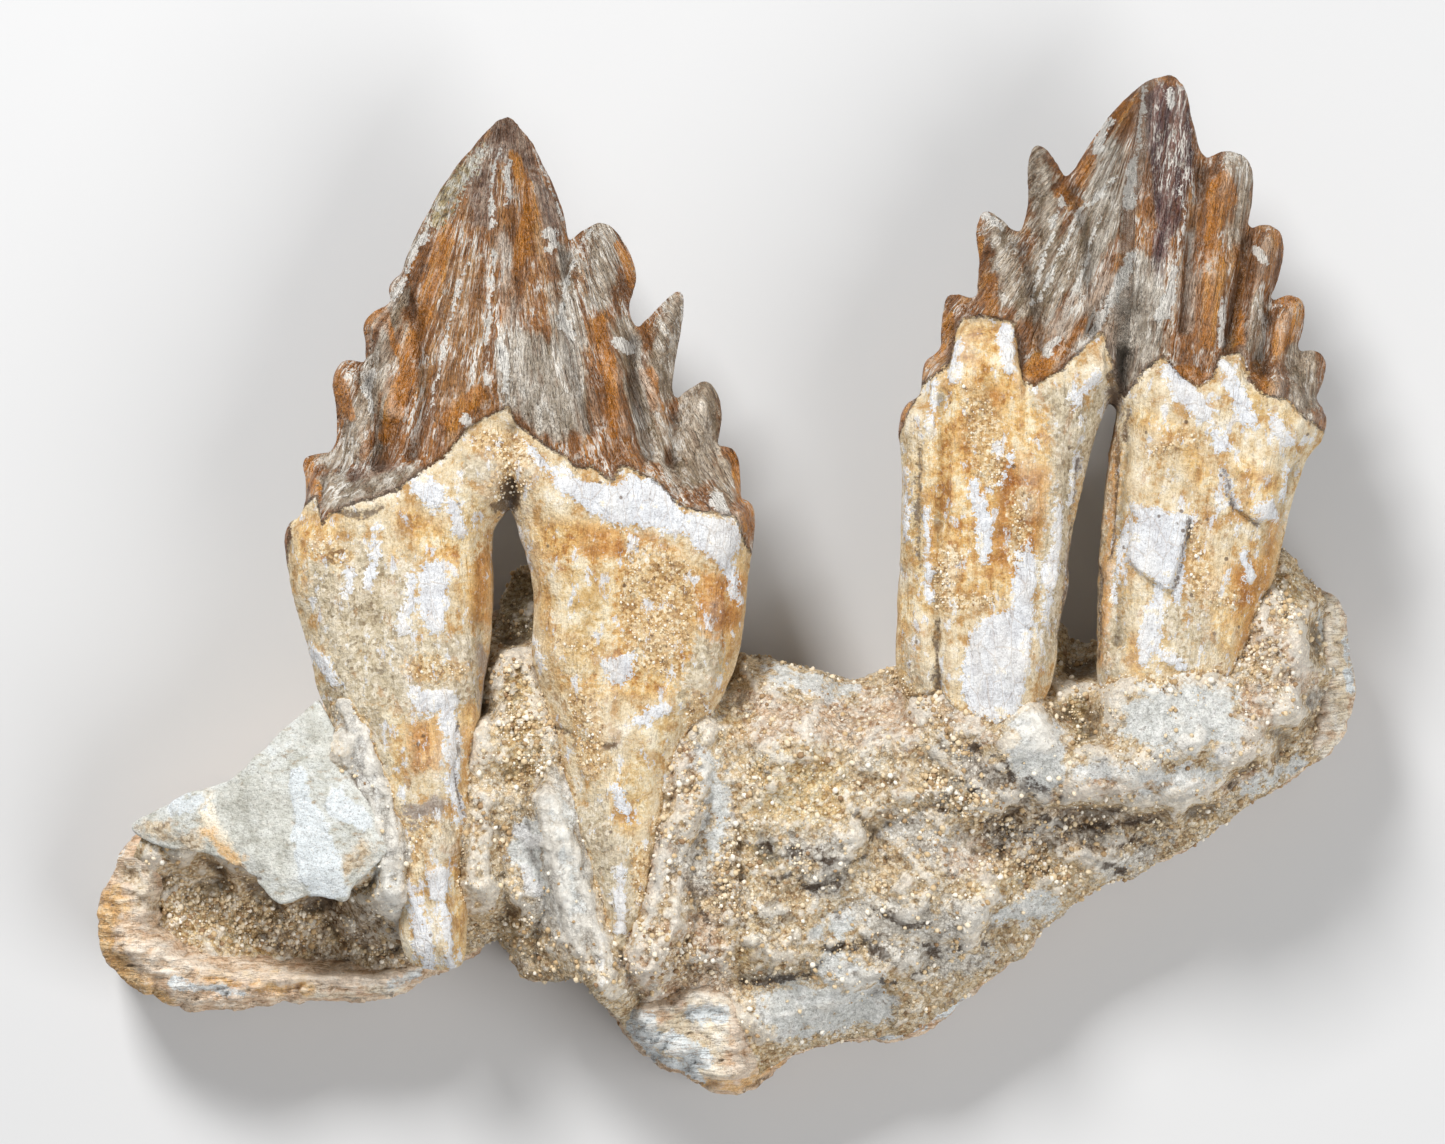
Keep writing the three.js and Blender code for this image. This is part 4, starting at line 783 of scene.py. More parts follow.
class Field:
    """A grid over an outline in millimetres, with each grid point's depth inside it."""

    def __init__(self, strokes, cell, ragged, seed):
        ring = ring_from(strokes)
        uneven = np.column_stack((rough(ring, 3.5, 3, seed), rough(ring, 3.5, 3, seed + 40)))
        self.ring = ring + ragged * uneven
        self.cell = cell
        self.low = self.ring.min(0) - 2 * cell
        high = self.ring.max(0) + 2 * cell
        self.columns = np.arange(self.low[0], high[0], cell)
        self.rows = np.arange(self.low[1], high[1], cell)
        across, up = np.meshgrid(self.columns, self.rows)
        self.points = np.column_stack((across.ravel(), up.ravel()))
        distance, self.nearest = nearest_on_segments(self.points, self.ring, np.roll(self.ring, -1, axis=0))
        self.inside = inside_ring(self.points, self.ring)
        self.depth = np.where(self.inside, distance, 0)

    def shape(self):
        return len(self.rows), len(self.columns)

    def sample(self, values, points):
        """Grid values at any points, blended between the four nearest grid points."""
        grid = values.reshape(self.shape())
        place = (points - self.low) / self.cell
        limit = np.array([len(self.columns), len(self.rows)]) - 1.001
        place = np.clip(place, 0, limit)
        base = place.astype(int)
        share = place - base
        column, row = base[:, 0], base[:, 1]
        lower = grid[row, column] * (1 - share[:, 0]) + grid[row, column + 1] * share[:, 0]
        upper = grid[row + 1, column] * (1 - share[:, 0]) + grid[row + 1, column + 1] * share[:, 0]
        return lower * (1 - share[:, 1]) + upper * share[:, 1]

    def blurred(self, values, reach):
        """Grid values averaged over squares of the given half width, inside the outline only."""
        steps = max(1, round(reach / self.cell))
        layers = [(values * self.inside).reshape(self.shape()),
                  self.inside.astype(float).reshape(self.shape())]
        for _ in range(2):
            for axis in (0, 1):
                layers = [running_mean(layer, steps, axis) for layer in layers]
        return (layers[0] / np.maximum(layers[1], 1e-6)).ravel()

    def proud(self, values):
        """How far each place stands above or below its surroundings, and 0 at the outline."""
        small, large = values - self.blurred(values, 0.9), values - self.blurred(values, 3.0)
        return (1.1 * small + 0.3 * large) * smoothstep(0.6, 3, self.depth)

    def tiles(self):
        """Which grid squares lie inside the outline, as one connected patch with no pinched corner."""
        inside = self.inside.reshape(self.shape())
        full = inside[:-1, :-1] & inside[1:, :-1] & inside[:-1, 1:] & inside[1:, 1:]
        for _ in range(6):
            one = full[:-1, :-1] & full[1:, 1:] & ~full[1:, :-1] & ~full[:-1, 1:]
            other = full[1:, :-1] & full[:-1, 1:] & ~full[:-1, :-1] & ~full[1:, 1:]
            full[:-1, :-1] &= ~one
            full[1:, :-1] &= ~other
        depth = self.depth.reshape(self.shape())[:-1, :-1] * full
        reached = np.zeros_like(full)
        reached[np.unravel_index(depth.argmax(), depth.shape)] = True
        while True:
            grown = reached.copy()
            grown[1:] |= reached[:-1]
            grown[:-1] |= reached[1:]
            grown[:, 1:] |= reached[:, :-1]
            grown[:, :-1] |= reached[:, 1:]
            grown &= full
            if (grown == reached).all():
                return full & reached
            reached = grown


def running_mean(grid, steps, axis):
    """Each value averaged with its neighbours up to some steps away along one axis."""
    padded = np.pad(grid, [(steps + 1, steps) if side == axis else (0, 0) for side in (0, 1)], mode="edge")
    total = np.cumsum(padded, axis=axis)
    width = 2 * steps + 1
    count = grid.shape[axis]
    upper = np.take(total, np.arange(width, width + count), axis=axis)
    lower = np.take(total, np.arange(count), axis=axis)
    return (upper - lower) / width


def slab_mesh(name, field, face, back=None, wall=None):
    """A closed mesh over a field. With back heights it has a fine back, else wall gives, for each row
    of its side from the face down, the boundary points' places, and one flat face closes the back."""
    tiles = field.tiles()
    rows, columns = np.nonzero(tiles)
    width = len(field.columns)
    corner = rows * width + columns
    quads = np.column_stack((corner, corner + 1, corner + width + 1, corner + width))
    padded = np.pad(tiles, 1)
    sides = []
    for (down, right), (first, second) in {
        (-1, 0): (0, 1), (0, 1): (1, 2), (1, 0): (2, 3), (0, -1): (3, 0),
    }.items():
        open_side = ~padded[rows + 1 + down, columns + 1 + right]
        sides.append(quads[open_side][:, [first, second]])
    edges = np.vstack(sides)
    used, quad_ids = np.unique(quads, return_inverse=True)
    quad_ids = quad_ids.reshape(quads.shape)
    renumber = np.full(len(field.points), -1)
    renumber[used] = np.arange(len(used))
    edge_ids = renumber[edges]
    rim = np.unique(edge_ids)
    flat = field.points[used].copy()
    flat[rim] = field.nearest[used[rim]]
    count = len(used)
    verts = [np.column_stack((flat, face[used]))]
    faces = quad_ids.tolist()
    if back is not None:
        verts.append(np.column_stack((flat, back[used])))
        faces += (quad_ids[:, ::-1] + count).tolist()
        start, end = edge_ids[:, 0], edge_ids[:, 1]
        faces += np.column_stack((start + count, end + count, end, start)).tolist()
    else:
        follow = dict(edge_ids.tolist())
        loop = [int(edge_ids[0, 0])]
        while follow[loop[-1]] != loop[0]:
            loop.append(follow[loop[-1]])
        loop = np.array(loop)
        above = loop
        for row in range(1, WALL_ROWS + 1):
            verts.append(wall(flat[loop], face[used[loop]], row / WALL_ROWS))
            below = count + (row - 1) * len(loop) + np.arange(len(loop))
            faces += np.column_stack((below, np.roll(below, -1), np.roll(above, -1), above)).tolist()
            above = below
        faces.append(above[::-1].tolist())
    return new_mesh(name, np.vstack(verts), faces)


def new_mesh(name, places, faces):
    """A mesh from places in millimetres."""
    mesh = bpy.data.meshes.new(name)
    mesh.from_pydata((places * METRES).tolist(), [], faces)
    mesh.update()
    return mesh


def add_piece(name, mesh, material, slot_name, *nodes):
    """Links a mesh as a piece that rides on the fossil and stands for the named CAD nodes."""
    piece = bpy.data.objects.new(name, mesh)
    bpy.context.scene.collection.objects.link(piece)
    mesh.materials.clear()
    mesh.materials.append(material)
    mesh.polygons.foreach_set("use_smooth", np.ones(len(mesh.polygons), bool))
    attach(piece, "root")
    if nodes:
        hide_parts(*nodes)
    return piece


def modified(mesh, name, kind, **settings):
    """The mesh after one modifier."""
    helper = bpy.data.objects.new(name + "_helper", mesh)
    bpy.context.scene.collection.objects.link(helper)
    modifier = helper.modifiers.new("change", kind)
    for setting, value in settings.items():
        setattr(modifier, setting, value)
    graph = bpy.context.evaluated_depsgraph_get()
    made = bpy.data.meshes.new_from_object(helper.evaluated_get(graph), depsgraph=graph)
    bpy.data.objects.remove(helper)
    made.name = name
    return made


def remeshed(mesh, name, voxel):
    """The mesh rebuilt with even faces of about the voxel's size."""
    return modified(mesh, name, "REMESH", mode="VOXEL", voxel_size=voxel * METRES)


def thinned(mesh, name, most):
    """The mesh with its flattest faces merged until it has at most this many triangles."""
    mesh.calc_loop_triangles()
    return modified(mesh, name, "DECIMATE", ratio=min(most / len(mesh.loop_triangles), 1.0))


def corners_of(mesh):
    """Vertex places and normals in millimetres."""
    places = np.empty(len(mesh.vertices) * 3, np.float32)
    normals = np.empty(len(mesh.vertices) * 3, np.float32)
    mesh.vertices.foreach_get("co", places)
    mesh.vertex_normals.foreach_get("vector", normals)
    return places.reshape(-1, 3).astype(float) / METRES, normals.reshape(-1, 3).astype(float)


def move_corners(mesh, places):
    mesh.vertices.foreach_set("co", (places * METRES).astype(np.float32).ravel())
    mesh.update()


def paint(mesh, **layers):
    """Stores one number for each vertex, or one vector, for the material to read."""
    for name, values in layers.items():
        vector = values.ndim == 2
        layer = mesh.attributes.new(name, "FLOAT_VECTOR" if vector else "FLOAT", "POINT")
        layer.data.foreach_set("vector" if vector else "value", values.astype(np.float32).ravel())


def linear(hex_colour):
    """A screen colour as three linear numbers."""
    channels = [int(hex_colour[start:start + 2], 16) / 255 for start in (1, 3, 5)]
    return [c / 12.92 if c <= 0.04045 else ((c + 0.055) / 1.055) ** 2.4 for c in channels]


def shader_colour(colour):
    """A screen colour, or a setting's three linear numbers, as the four numbers that a shader takes."""
    return [*(linear(colour) if isinstance(colour, str) else colour), 1.0]


class Shader:
    """Builds one node material, a step at a time."""

    def __init__(self, name):
        self.material = bpy.data.materials.new(name)
        self.material.use_nodes = True
        self.tree = self.material.node_tree
        self.surface = self.tree.nodes["Principled BSDF"]
        self.place = self.node("ShaderNodeTexCoord").outputs["Object"]

    def node(self, kind, inputs=(), **settings):
        """A new node, with values or links for the inputs that are named or numbered."""
        made = self.tree.nodes.new(kind)
        for setting, value in settings.items():
            setattr(made, setting, value)
        for key, value in dict(inputs).items():
            self.set(made.inputs[key], value)
        return made

    def set(self, socket, value):
        if isinstance(value, bpy.types.NodeSocket):
            self.tree.links.new(value, socket)
        else:
            socket.default_value = value

    def mask(self, name):
        return self.node("ShaderNodeAttribute", attribute_name=name).outputs["Fac"]

    def vector(self, name):
        return self.node("ShaderNodeAttribute", attribute_name=name).outputs["Vector"]

    def stretched(self, place, across, along):
        """Place scaled so that patterns run along Y."""
        scales = (across, along, across)
        return self.node("ShaderNodeVectorMath", {0: place, 1: scales}, operation="MULTIPLY").outputs[0]

    def noise(self, place, scale, detail=4.0, roughness=0.6):
        inputs = {"Vector": place, "Scale": scale, "Detail": detail, "Roughness": roughness}
        return self.node("ShaderNodeTexNoise", inputs).outputs["Fac"]

    def cells(self, place, scale, output="Distance", feature="F1"):
        inputs = {"Vector": place, "Scale": scale}
        return self.node("ShaderNodeTexVoronoi", inputs, feature=feature).outputs[output]

    def math(self, operation, first, second=0.0, third=0.0):
        inputs = enumerate((first, second, third))
        return self.node("ShaderNodeMath", inputs, operation=operation).outputs[0]

    def times(self, first, second):
        return self.math("MULTIPLY", first, second)

    def span(self, value, low, high, to_low=0.0, to_high=1.0):
        """value from low to high, mapped smoothly to another range."""
        inputs = {"Value": value, "From Min": low, "From Max": high, "To Min": to_low, "To Max": to_high}
        return self.node("ShaderNodeMapRange", inputs, interpolation_type="SMOOTHSTEP").outputs["Result"]

    def patch(self, name, noise, ragged, soft):
        """One inside a painted patch, whose rim is broken up by about ragged millimetres."""
        moved = self.math("MULTIPLY_ADD", noise, 10 * ragged, -5 * ragged)
        return self.span(self.math("ADD", self.mask(name), moved), -soft, soft)

    def mix(self, share, first, second):
        below, above = (shader_colour(colour) if isinstance(colour, str) else colour
                        for colour in (first, second))
        inputs = {"Factor": share, 6: below, 7: above}
        return self.node("ShaderNodeMix", inputs, data_type="RGBA").outputs[2]

    def layered(self, base, rows):
        """Colours laid over each other. A row is patch, noise, ragged, softness, strength and colour."""
        for name, noise, ragged, soft, strength, colour in rows:
            base = self.mix(self.times(self.patch(name, noise, ragged, soft), strength), base, colour)
        return base

    def tones(self, value, *colours, low=0.36, high=0.66):
        """Colours spread evenly over the usual range of a noise."""
        made = self.node("ShaderNodeValToRGB", {"Fac": value})
        elements = made.color_ramp.elements
        while len(elements) < len(colours):
            elements.new(1.0)
        for index, (element, colour) in enumerate(zip(elements, colours)):
            element.position = low + (high - low) * index / (len(colours) - 1)
            element.color = shader_colour(colour)
        return made.outputs["Color"]

    def sand(self, *colours):
        """Cemented grains of mixed colours with a few stains."""
        if not hasattr(self, "grain_tone"):
            cell_colour = self.cells(self.place, GRAINS_PER_METRE, "Color")
            split = self.node("ShaderNodeSeparateColor", {0: cell_colour})
            fine = self.noise(self.place, 1500, 3)
            stain = self.noise(self.place, 160, 6, 0.65)
            mixed = self.math("MULTIPLY_ADD", split.outputs[0], 0.26, self.times(fine, 0.5))
            self.grain_tone = self.math("MULTIPLY_ADD", stain, 0.5, mixed)
        return self.tones(self.grain_tone, *colours, low=0.46, high=0.8)

    def speckled(self, colour, amount, dark="#4b3a2a", light="#f3eee4"):
        """Colour with specks a fraction of a millimetre across."""
        small = self.noise(self.place, 3300, 2)
        large = self.noise(self.place, 1200, 4, 0.7)
        colour = self.mix(self.times(self.span(small, 0.47, 0.3), 0.6 * amount), colour, dark)
        colour = self.mix(self.times(self.span(large, 0.47, 0.32), 0.5 * amount), colour, dark)
        return self.mix(self.times(self.span(large, 0.53, 0.7), 0.6 * amount), colour, light)

    def ridged(self, noise):
        """Zero where a noise crosses its middle, which makes long thin folds, and up to one elsewhere."""
        return self.times(self.math("ABSOLUTE", self.math("SUBTRACT", noise, 0.5)), 5.0)

    def bump(self, height, strength, distance, below=None):
        inputs = {"Strength": strength, "Distance": distance, "Height": height}
        if below is not None:
            inputs["Normal"] = below
        return self.node("ShaderNodeBump", inputs).outputs["Normal"]

    def finish(self, colour, roughness, normal, specular):
        for name, value in (("Base Color", colour), ("Roughness", roughness), ("Normal", normal),
                            ("Specular IOR Level", specular)):
            self.set(self.surface.inputs[name], value)
        return self.material


def tooth_material(settings):
    """Wrinkled brown enamel over stained and flaking roots."""
    shader = Shader("tooth_finish")
    flow = shader.vector("flow")
    pleat = shader.ridged(shader.noise(shader.stretched(flow, 1.0, 0.1), 900, 3, 0.6))
    wrinkle = shader.ridged(shader.noise(shader.stretched(flow, 1.0, 0.14), 1900, 2, 0.6))
    streak = shader.noise(shader.stretched(flow, 1.0, 0.08), 480, 4, 0.6)
    mottle = shader.noise(shader.place, 260, 7, 0.72)
    fine = shader.noise(shader.place, 1500, 3)
    broad = shader.noise(shader.place, 90, 6, 0.65)
    streaky = shader.math("MULTIPLY_ADD", streak, 0.7, shader.times(mottle, 0.3))
    blotch = shader.math("MULTIPLY_ADD", mottle, 0.7, shader.times(streak, 0.3))
    rim = shader.math("MULTIPLY_ADD", mottle, 0.6, shader.times(fine, 0.4))
    amber = shader.patch("amber", streaky, 0.5, 0.35)

    brown = shader.tones(streaky, "#75481c", settings.brown, "#a86f33", "#be8d58", low=0.41, high=0.6)
    smooth = shader.tones(streaky, "#84572a", "#a8763f", "#bd9264", low=0.42, high=0.6)
    dull = shader.tones(mottle, "#5d4232", "#836553", "#a98f7b", low=0.43, high=0.58)
    grey = shader.tones(streaky, "#83765e", settings.patina, "#b6ab97", "#d1c8b8", low=0.42, high=0.6)
    maroon = shader.tones(streak, "#41282a", "#613c37", "#8a685d", low=0.4, high=0.62)
    orange_brown = shader.tones(streaky, "#8a5311", settings.amber, "#c98a3a", low=0.4, high=0.62)
    dust = shader.tones(blotch, "#a89c8c", "#cfc6b8", "#ddd6ca", low=0.42, high=0.6)
    enamel = shader.layered(brown, (
        ("smooth", streaky, 0.8, 1.0, 0.8, smooth),
        ("dull", mottle, 0.8, 0.9, 0.9, dull),
        ("grey", streaky, 1.3, 1.0, 0.8, grey),
        ("maroon", streaky, 0.6, 0.5, 1.0, maroon),
        ("shade", mottle, 0.8, 0.8, 0.6, shader.tones(mottle, "#40342b", "#625446")),
        ("amber", streaky, 0.5, 0.35, 1.0, orange_brown),
        ("dust", streaky, 1.4, 1.2, 0.6, dust),
        ("crust", fine, 0.9, 0.12, 1.0, shader.tones(mottle, "#3f3a30", "#b09a68", "#dcd8ca", "#ece9df")),
    ))
    clear = shader.span(amber, 0.0, 1.0, 1.0, 0.3)
    rare = shader.times(shader.span(broad, 0.42, 0.58, 0.15, 1.0), clear)
    powder = shader.times(shader.span(pleat, 0.24, 0.1), rare)
    enamel = shader.mix(shader.times(powder, shader.span(streak, 0.42, 0.54)), enamel, "#ece6dc")
    film = shader.times(shader.span(wrinkle, 0.2, 0.06), shader.times(rare, 0.4))
    enamel = shader.mix(film, enamel, "#d6cec2")
    enamel = shader.mix(shader.times(shader.span(pleat, 0.4, 0.7, 0.0, 0.4), clear), enamel, "#6e4318")
    # Painted shade: dark lines along the wrinkle folds, where their shaded sides fall
    fold_shade = shader.times(shader.span(wrinkle, 0.25, 0.0), shader.span(broad, 0.55, 0.42, 0.0, 0.5))
    enamel = shader.mix(fold_shade, enamel, "#43290f")
    enamel = shader.mix(shader.times(shader.patch("chalk", rim, 0.6, 0.14), 0.9), enamel, "#e4e0d8")
    dusty = shader.times(shader.span(mottle, 0.56, 0.66), shader.span(broad, 0.44, 0.6))
    enamel = shader.speckled(shader.mix(shader.times(dusty, 0.75), enamel, "#cbc3b6"), 0.18)

    stained = shader.tones(blotch, "#bf955d", settings.root, "#e6d5b5", "#eee5d3", low=0.42, high=0.6)
    ochre = shader.tones(blotch, "#a9702f", settings.ochre, "#e3c084", "#f0e0bd", low=0.42, high=0.58)
    orange = shader.tones(blotch, "#965c24", "#c18643", "#dcae6c", low=0.42, high=0.59)
    cream = shader.tones(mottle, "#c9a66c", "#dfc697", "#ecdfc1", low=0.42, high=0.58)
    sand = shader.sand("#8a673f", "#c69e66", "#dec292", "#efe2c5")
    crust = shader.sand("#928269", "#c0b193", "#d5c8ae", "#e6dcc9")
    root = shader.layered(stained, (
        ("ochre", blotch, 2.0, 1.5, 0.95, ochre),
        ("tan", rim, 1.8, 1.2, 0.92, crust),
        ("purple", mottle, 0.9, 0.9, 0.85, shader.tones(mottle, "#8a7a70", "#ac9f95")),
        ("orange", blotch, 1.9, 1.2, 0.9, orange),
        ("cream", rim, 1.8, 0.9, 0.9, cream),
        ("sandy", rim, 1.6, 0.7, 0.9, sand),
    ))
    fibre = shader.times(shader.span(pleat, 0.2, 0.0), shader.span(broad, 0.46, 0.6, 0.0, 0.4))
    root = shader.mix(fibre, root, "#9c7b54")
    rust = shader.span(shader.noise(shader.stretched(flow, 1.0, 0.5), 300, 6, 0.7), 0.42, 0.37, 0.0, 0.5)
    root = shader.mix(rust, root, "#a8763d")
    chip = shader.tones(blotch, "#d0d0d3", "#e0e2e5", "#eeeff1", low=0.42, high=0.58)
    crackle = shader.cells(shader.stretched(flow, 1.0, 0.4), 420, feature="DISTANCE_TO_EDGE")
    chip = shader.mix(shader.span(crackle, 0.04, 0.01, 0.0, 0.35), chip, "#b09b88")
    chip = shader.mix(shader.span(blotch, 0.56, 0.62, 0.0, 0.8), chip, cream)
    root = shader.mix(shader.patch("white", rim, 1.0, 0.12), root, chip)
    fleck = shader.span(shader.noise(shader.stretched(flow, 1.0, 0.5), 380, 6, 0.72), 0.58, 0.61, 0.0, 0.85)
    root = shader.mix(fleck, root, chip)
    root = shader.layered(root, (("dirt", rim, 0.7, 0.4, 0.8, "#5d4733"),))
    pit = shader.span(shader.cells(shader.place, 260), 0.14, 0.08)
    root = shader.mix(shader.times(pit, shader.span(broad, 0.5, 0.56, 0.0, 0.8)), root, "#5d4733")
    root = shader.speckled(root, 0.55)

    cap = shader.patch("enamel", rim, 0.5, 0.12)
    colour = shader.mix(cap, root, enamel)
    lip = shader.times(shader.span(shader.mask("enamel"), 1.0, 0.1, 0.0, 0.6), cap)
    colour = shader.mix(lip, colour, "#6a4420")
    # Painted shade where the surface lies below its surroundings, and a painted highlight where it stands
    # proud
    relief = shader.mask("relief")
    colour = shader.mix(shader.span(relief, -0.05, -1.1, 0.0, 0.6), colour, "#3b2a1c")
    colour = shader.mix(shader.span(relief, 0.15, 1.0, 0.0, 0.25), colour, "#efe4d2")

    dullness = shader.math("MULTIPLY_ADD", cap, -0.47, 0.82)
    dullness = shader.math("MULTIPLY_ADD", shader.times(amber, cap), -0.12, dullness)
    roughness = shader.math("MULTIPLY_ADD", fine, 0.1, dullness)
    wrinkled = shader.span(cap, 0.0, 1.0, 0.25, 1.0)
    folds = shader.bump(shader.times(wrinkle, wrinkled), 0.7, 0.0003)
    folds = shader.bump(shader.times(pleat, wrinkled), 1.0, 0.0007, folds)
    return shader.finish(colour, roughness, shader.bump(rim, 0.7, 0.0016, folds), 0.5)


def bone_material(name, across, along, splitting, dark, middle, light):
    """Weathered bone with fibres along one axis and white, grey, cream and ochre patches."""
    shader = Shader(name)
    fibre = shader.noise(shader.stretched(shader.place, across, along), 700, 6, 0.65)
    mottle = shader.noise(shader.place, 240, 7, 0.68)
    blotch = shader.math("MULTIPLY_ADD", mottle, 0.6, shader.times(fibre, 0.4))
    fine = shader.noise(shader.place, 1500, 4)
    split = shader.ridged(shader.noise(shader.stretched(shader.place, across, along), 460, 4, 0.62))
    colour = shader.tones(blotch, dark, middle, light, low=0.4, high=0.62)
    colour = shader.mix(shader.span(fibre, 0.45, 0.34, 0.0, 0.5), colour, "#a3835f")
    colour = shader.layered(colour, (
        ("grey", mottle, 1.2, 1.2, 0.9, shader.tones(mottle, "#b3b2a7", "#cfcfc6", "#e0e0d9")),
        ("cream", mottle, 1.1, 1.0, 0.9, shader.tones(mottle, "#e2ceaa", "#f3e6cd", "#faf4e8")),
        ("ochre", mottle, 1.3, 1.1, 0.9, shader.tones(blotch, "#c4894c", "#e6b676", "#f5dbae")),
        ("tan", mottle, 1.2, 1.2, 0.9, shader.sand("#8b7557", "#bea583", "#d8c5a6", "#e8dcc6")),
        ("white", mottle, 0.7, 0.4, 0.95, shader.tones(blotch, "#c7cdce", "#dde3e5", "#ebf0f1")),
        ("dirt", mottle, 0.5, 0.4, 0.75, "#5f4a35"),
    ))
    colour = shader.mix(shader.span(split, 0.12, 0.02, 0.0, 0.55 * splitting), colour, "#94704e")
    colour = shader.speckled(colour, 0.75)
    relief = shader.mask("relief")
    # Painted shade in hollows and a painted highlight on raised places, from the stored relief
    colour = shader.mix(shader.span(relief, -0.25, -1.3, 0.0, 0.55), colour, "#5c4531")
    colour = shader.mix(shader.span(relief, 0.15, 0.9, 0.0, 0.35), colour, "#f3ece0")
    layers = shader.bump(fibre, 0.6, 0.0008)
    layers = shader.bump(shader.span(split, 0.0, 0.4), 0.7 * splitting, 0.0004, layers)
    return shader.finish(colour, 0.78, shader.bump(fine, 0.6, 0.0006, layers), 0.3)


def matrix_material(settings):
    """Cemented sand with grey, pink, gold and chalky patches, and hollows darkened by painted shade."""
    shader = Shader("matrix_finish")
    mottle = shader.noise(shader.place, 240, 7, 0.72)
    fine = shader.noise(shader.place, 1400, 4, 0.65)
    strand = shader.noise(shader.stretched(shader.place, 1.0, 0.12), 600, 5)
    strands = shader.tones(strand, "#aba79f", "#d3d1ca", "#eae9e4", low=0.42, high=0.6)
    cement = shader.tones(shader.math("MULTIPLY_ADD", fine, 0.4, shader.times(mottle, 0.6)),
                          "#c2c4c1", settings.cement, "#f2f3f1", low=0.42, high=0.58)
    colour = shader.layered(shader.sand("#ab8a62", settings.sand, "#e7d4b3", "#f4ebd9"), (
        ("grey", mottle, 2.2, 1.6, 0.85, shader.sand("#b0aba0", "#d8d4ca", "#e7e4db", "#f3f1eb")),
        ("pink", mottle, 2.0, 1.5, 0.85, shader.sand("#b58e6e", "#d9bc9f", "#e8d3bc", "#f4eada")),
        ("gold", mottle, 2.0, 1.5, 0.85, shader.sand("#b08850", "#e0bf87", "#eed8a9", "#f8eed6")),
        ("olive", mottle, 1.4, 1.0, 0.8, shader.sand("#5d5138", "#93835f", "#b7a883")),
        ("flow", strand, 1.4, 1.0, 0.8, strands),
        ("coarse", mottle, 1.4, 1.2, 0.35, shader.sand("#84633a", "#c5a26c", "#d8be8e", "#e9dabf")),
        ("pale", mottle, 2.0, 1.0, 0.92, cement),
        ("white", mottle, 0.6, 0.2, 1.0, shader.tones(fine, "#d9d7d5", "#e9e9e7", "#f5f5f3")),
        # Painted shade: in hollows and under ledges, as dark grey sand in crevices, and in dark lines that
        # are partly real cracks and partly painted shadow lines
        ("dark", mottle, 2.2, 1.6, 0.7, shader.sand("#54412f", "#c6b199", "#f4eadb")),
        ("crevice_shade", mottle, 2.4, 1.4, 0.6, shader.sand("#4b4843", "#8d8a83", "#c0bcb2")),
        ("crack", mottle, 0.8, 0.35, 0.85, "#392b20"),
    ))
    # Painted shade in the gaps between the sand grains, weaker on the smooth cement
    seams = shader.cells(shader.place, GRAINS_PER_METRE, feature="DISTANCE_TO_EDGE")
    grainy = shader.span(shader.patch("pale", mottle, 2.0, 1.0), 0.0, 1.0, 0.3, 0.08)
    colour = shader.mix(shader.times(shader.span(seams, 0.16, 0.02), grainy), colour, "#6a523a")
    # Painted shade in crevices between crumbs of rock, in patches and away from the cement
    broad = shader.noise(shader.place, 110, 4, 0.6)
    crevice = shader.ridged(shader.noise(shader.place, 330, 5, 0.7))
    open_share = shader.times(shader.span(broad, 0.46, 0.6, 0.1, 0.65), shader.span(grainy, 0.08, 0.3))
    colour = shader.mix(shader.times(shader.span(crevice, 0.13, 0.03), open_share), colour, "#57453a")
    colour = shader.speckled(colour, 0.65)
    relief = shader.mask("relief")
    # Painted shade in hollows and a painted highlight on raised places, from the stored relief
    colour = shader.mix(shader.span(relief, -0.35, -1.5, 0.0, 0.6), colour, "#4a3b2e")
    colour = shader.mix(shader.span(relief, 0.05, 0.7, 0.0, 0.6), colour, "#f8f2e6")
    grains = shader.bump(shader.cells(shader.place, GRAINS_PER_METRE), -0.8, 0.0008)
    grains = shader.bump(shader.span(crevice, 0.0, 0.3), 0.5, 0.0007, grains)
    return shader.finish(colour, 0.9, shader.bump(mottle, 0.8, 0.0016, grains), 0.2)


def grain_material():
    """Loose sand grains, each of its own tone."""
    shader = Shader("grain_finish")
    tone = shader.math("MULTIPLY_ADD", shader.noise(shader.place, 2500, 2), 0.2, shader.mask("tone"))
    colour = shader.tones(tone, "#97795a", "#c2a57b", "#d9c19a", "#e5d2b0", "#eee1c9", "#f5eee0",
                          low=0.1, high=1.1)
    return shader.finish(colour, 0.75, shader.bump(shader.noise(shader.place, 1800, 3), 0.5, 0.0003), 0.3)


def level_heights(points):
    """The matrix face blended between the named levels."""
    total = np.zeros(len(points))
    weights = np.zeros(len(points))
    for column, row, height in MATRIX_LEVELS:
        weight = 1 / (np.hypot(*(points - to_mm((column, row))).T) + 1) ** LEVEL_SHARPNESS
        total += height * weight
        weights += weight
    return total / weights


def enamel_edge(points, line):
    """Height on the page of the enamel's lower edge above or below each point."""
    corners = to_mm(line)
    order = np.argsort(corners[:, 0])
    return np.interp(points[:, 0], corners[order, 0], corners[order, 1])


def enamel_depth(points, line):
    """Signed distance to the enamel's lower edge, positive on the crown."""
    distance = line_distance(points, line)
    return np.where(points[:, 1] > enamel_edge(points, line), distance, -distance)


def tooth_half_thickness(points, depth, line, root_end):
    """Half the thickness of a tooth, thin at its outline."""
    crown = CROWN_HALF_THICKNESS * np.minimum(depth / CROWN_SLOPE_WIDTH, 1) ** CROWN_ROUNDING
    tuck = 1 - np.minimum(depth / ROOT_ROUNDING_WIDTH, 1)
    edge = enamel_edge(points, line)
    edge = 0.5 * edge + 0.5 * edge.mean()
    down = np.clip((edge - points[:, 1]) / (edge - to_mm((0, root_end))[1]), 0, 1)
    root = ROOT_HALF_THICKNESS * (1 - (1 - ROOT_TIP_SHARE) * down**2) * np.sqrt(1 - tuck**2)
    share = smoothstep(-4, 6, points[:, 1] - edge)
    return EDGE_HALF_THICKNESS + root * (1 - share) + crown * share


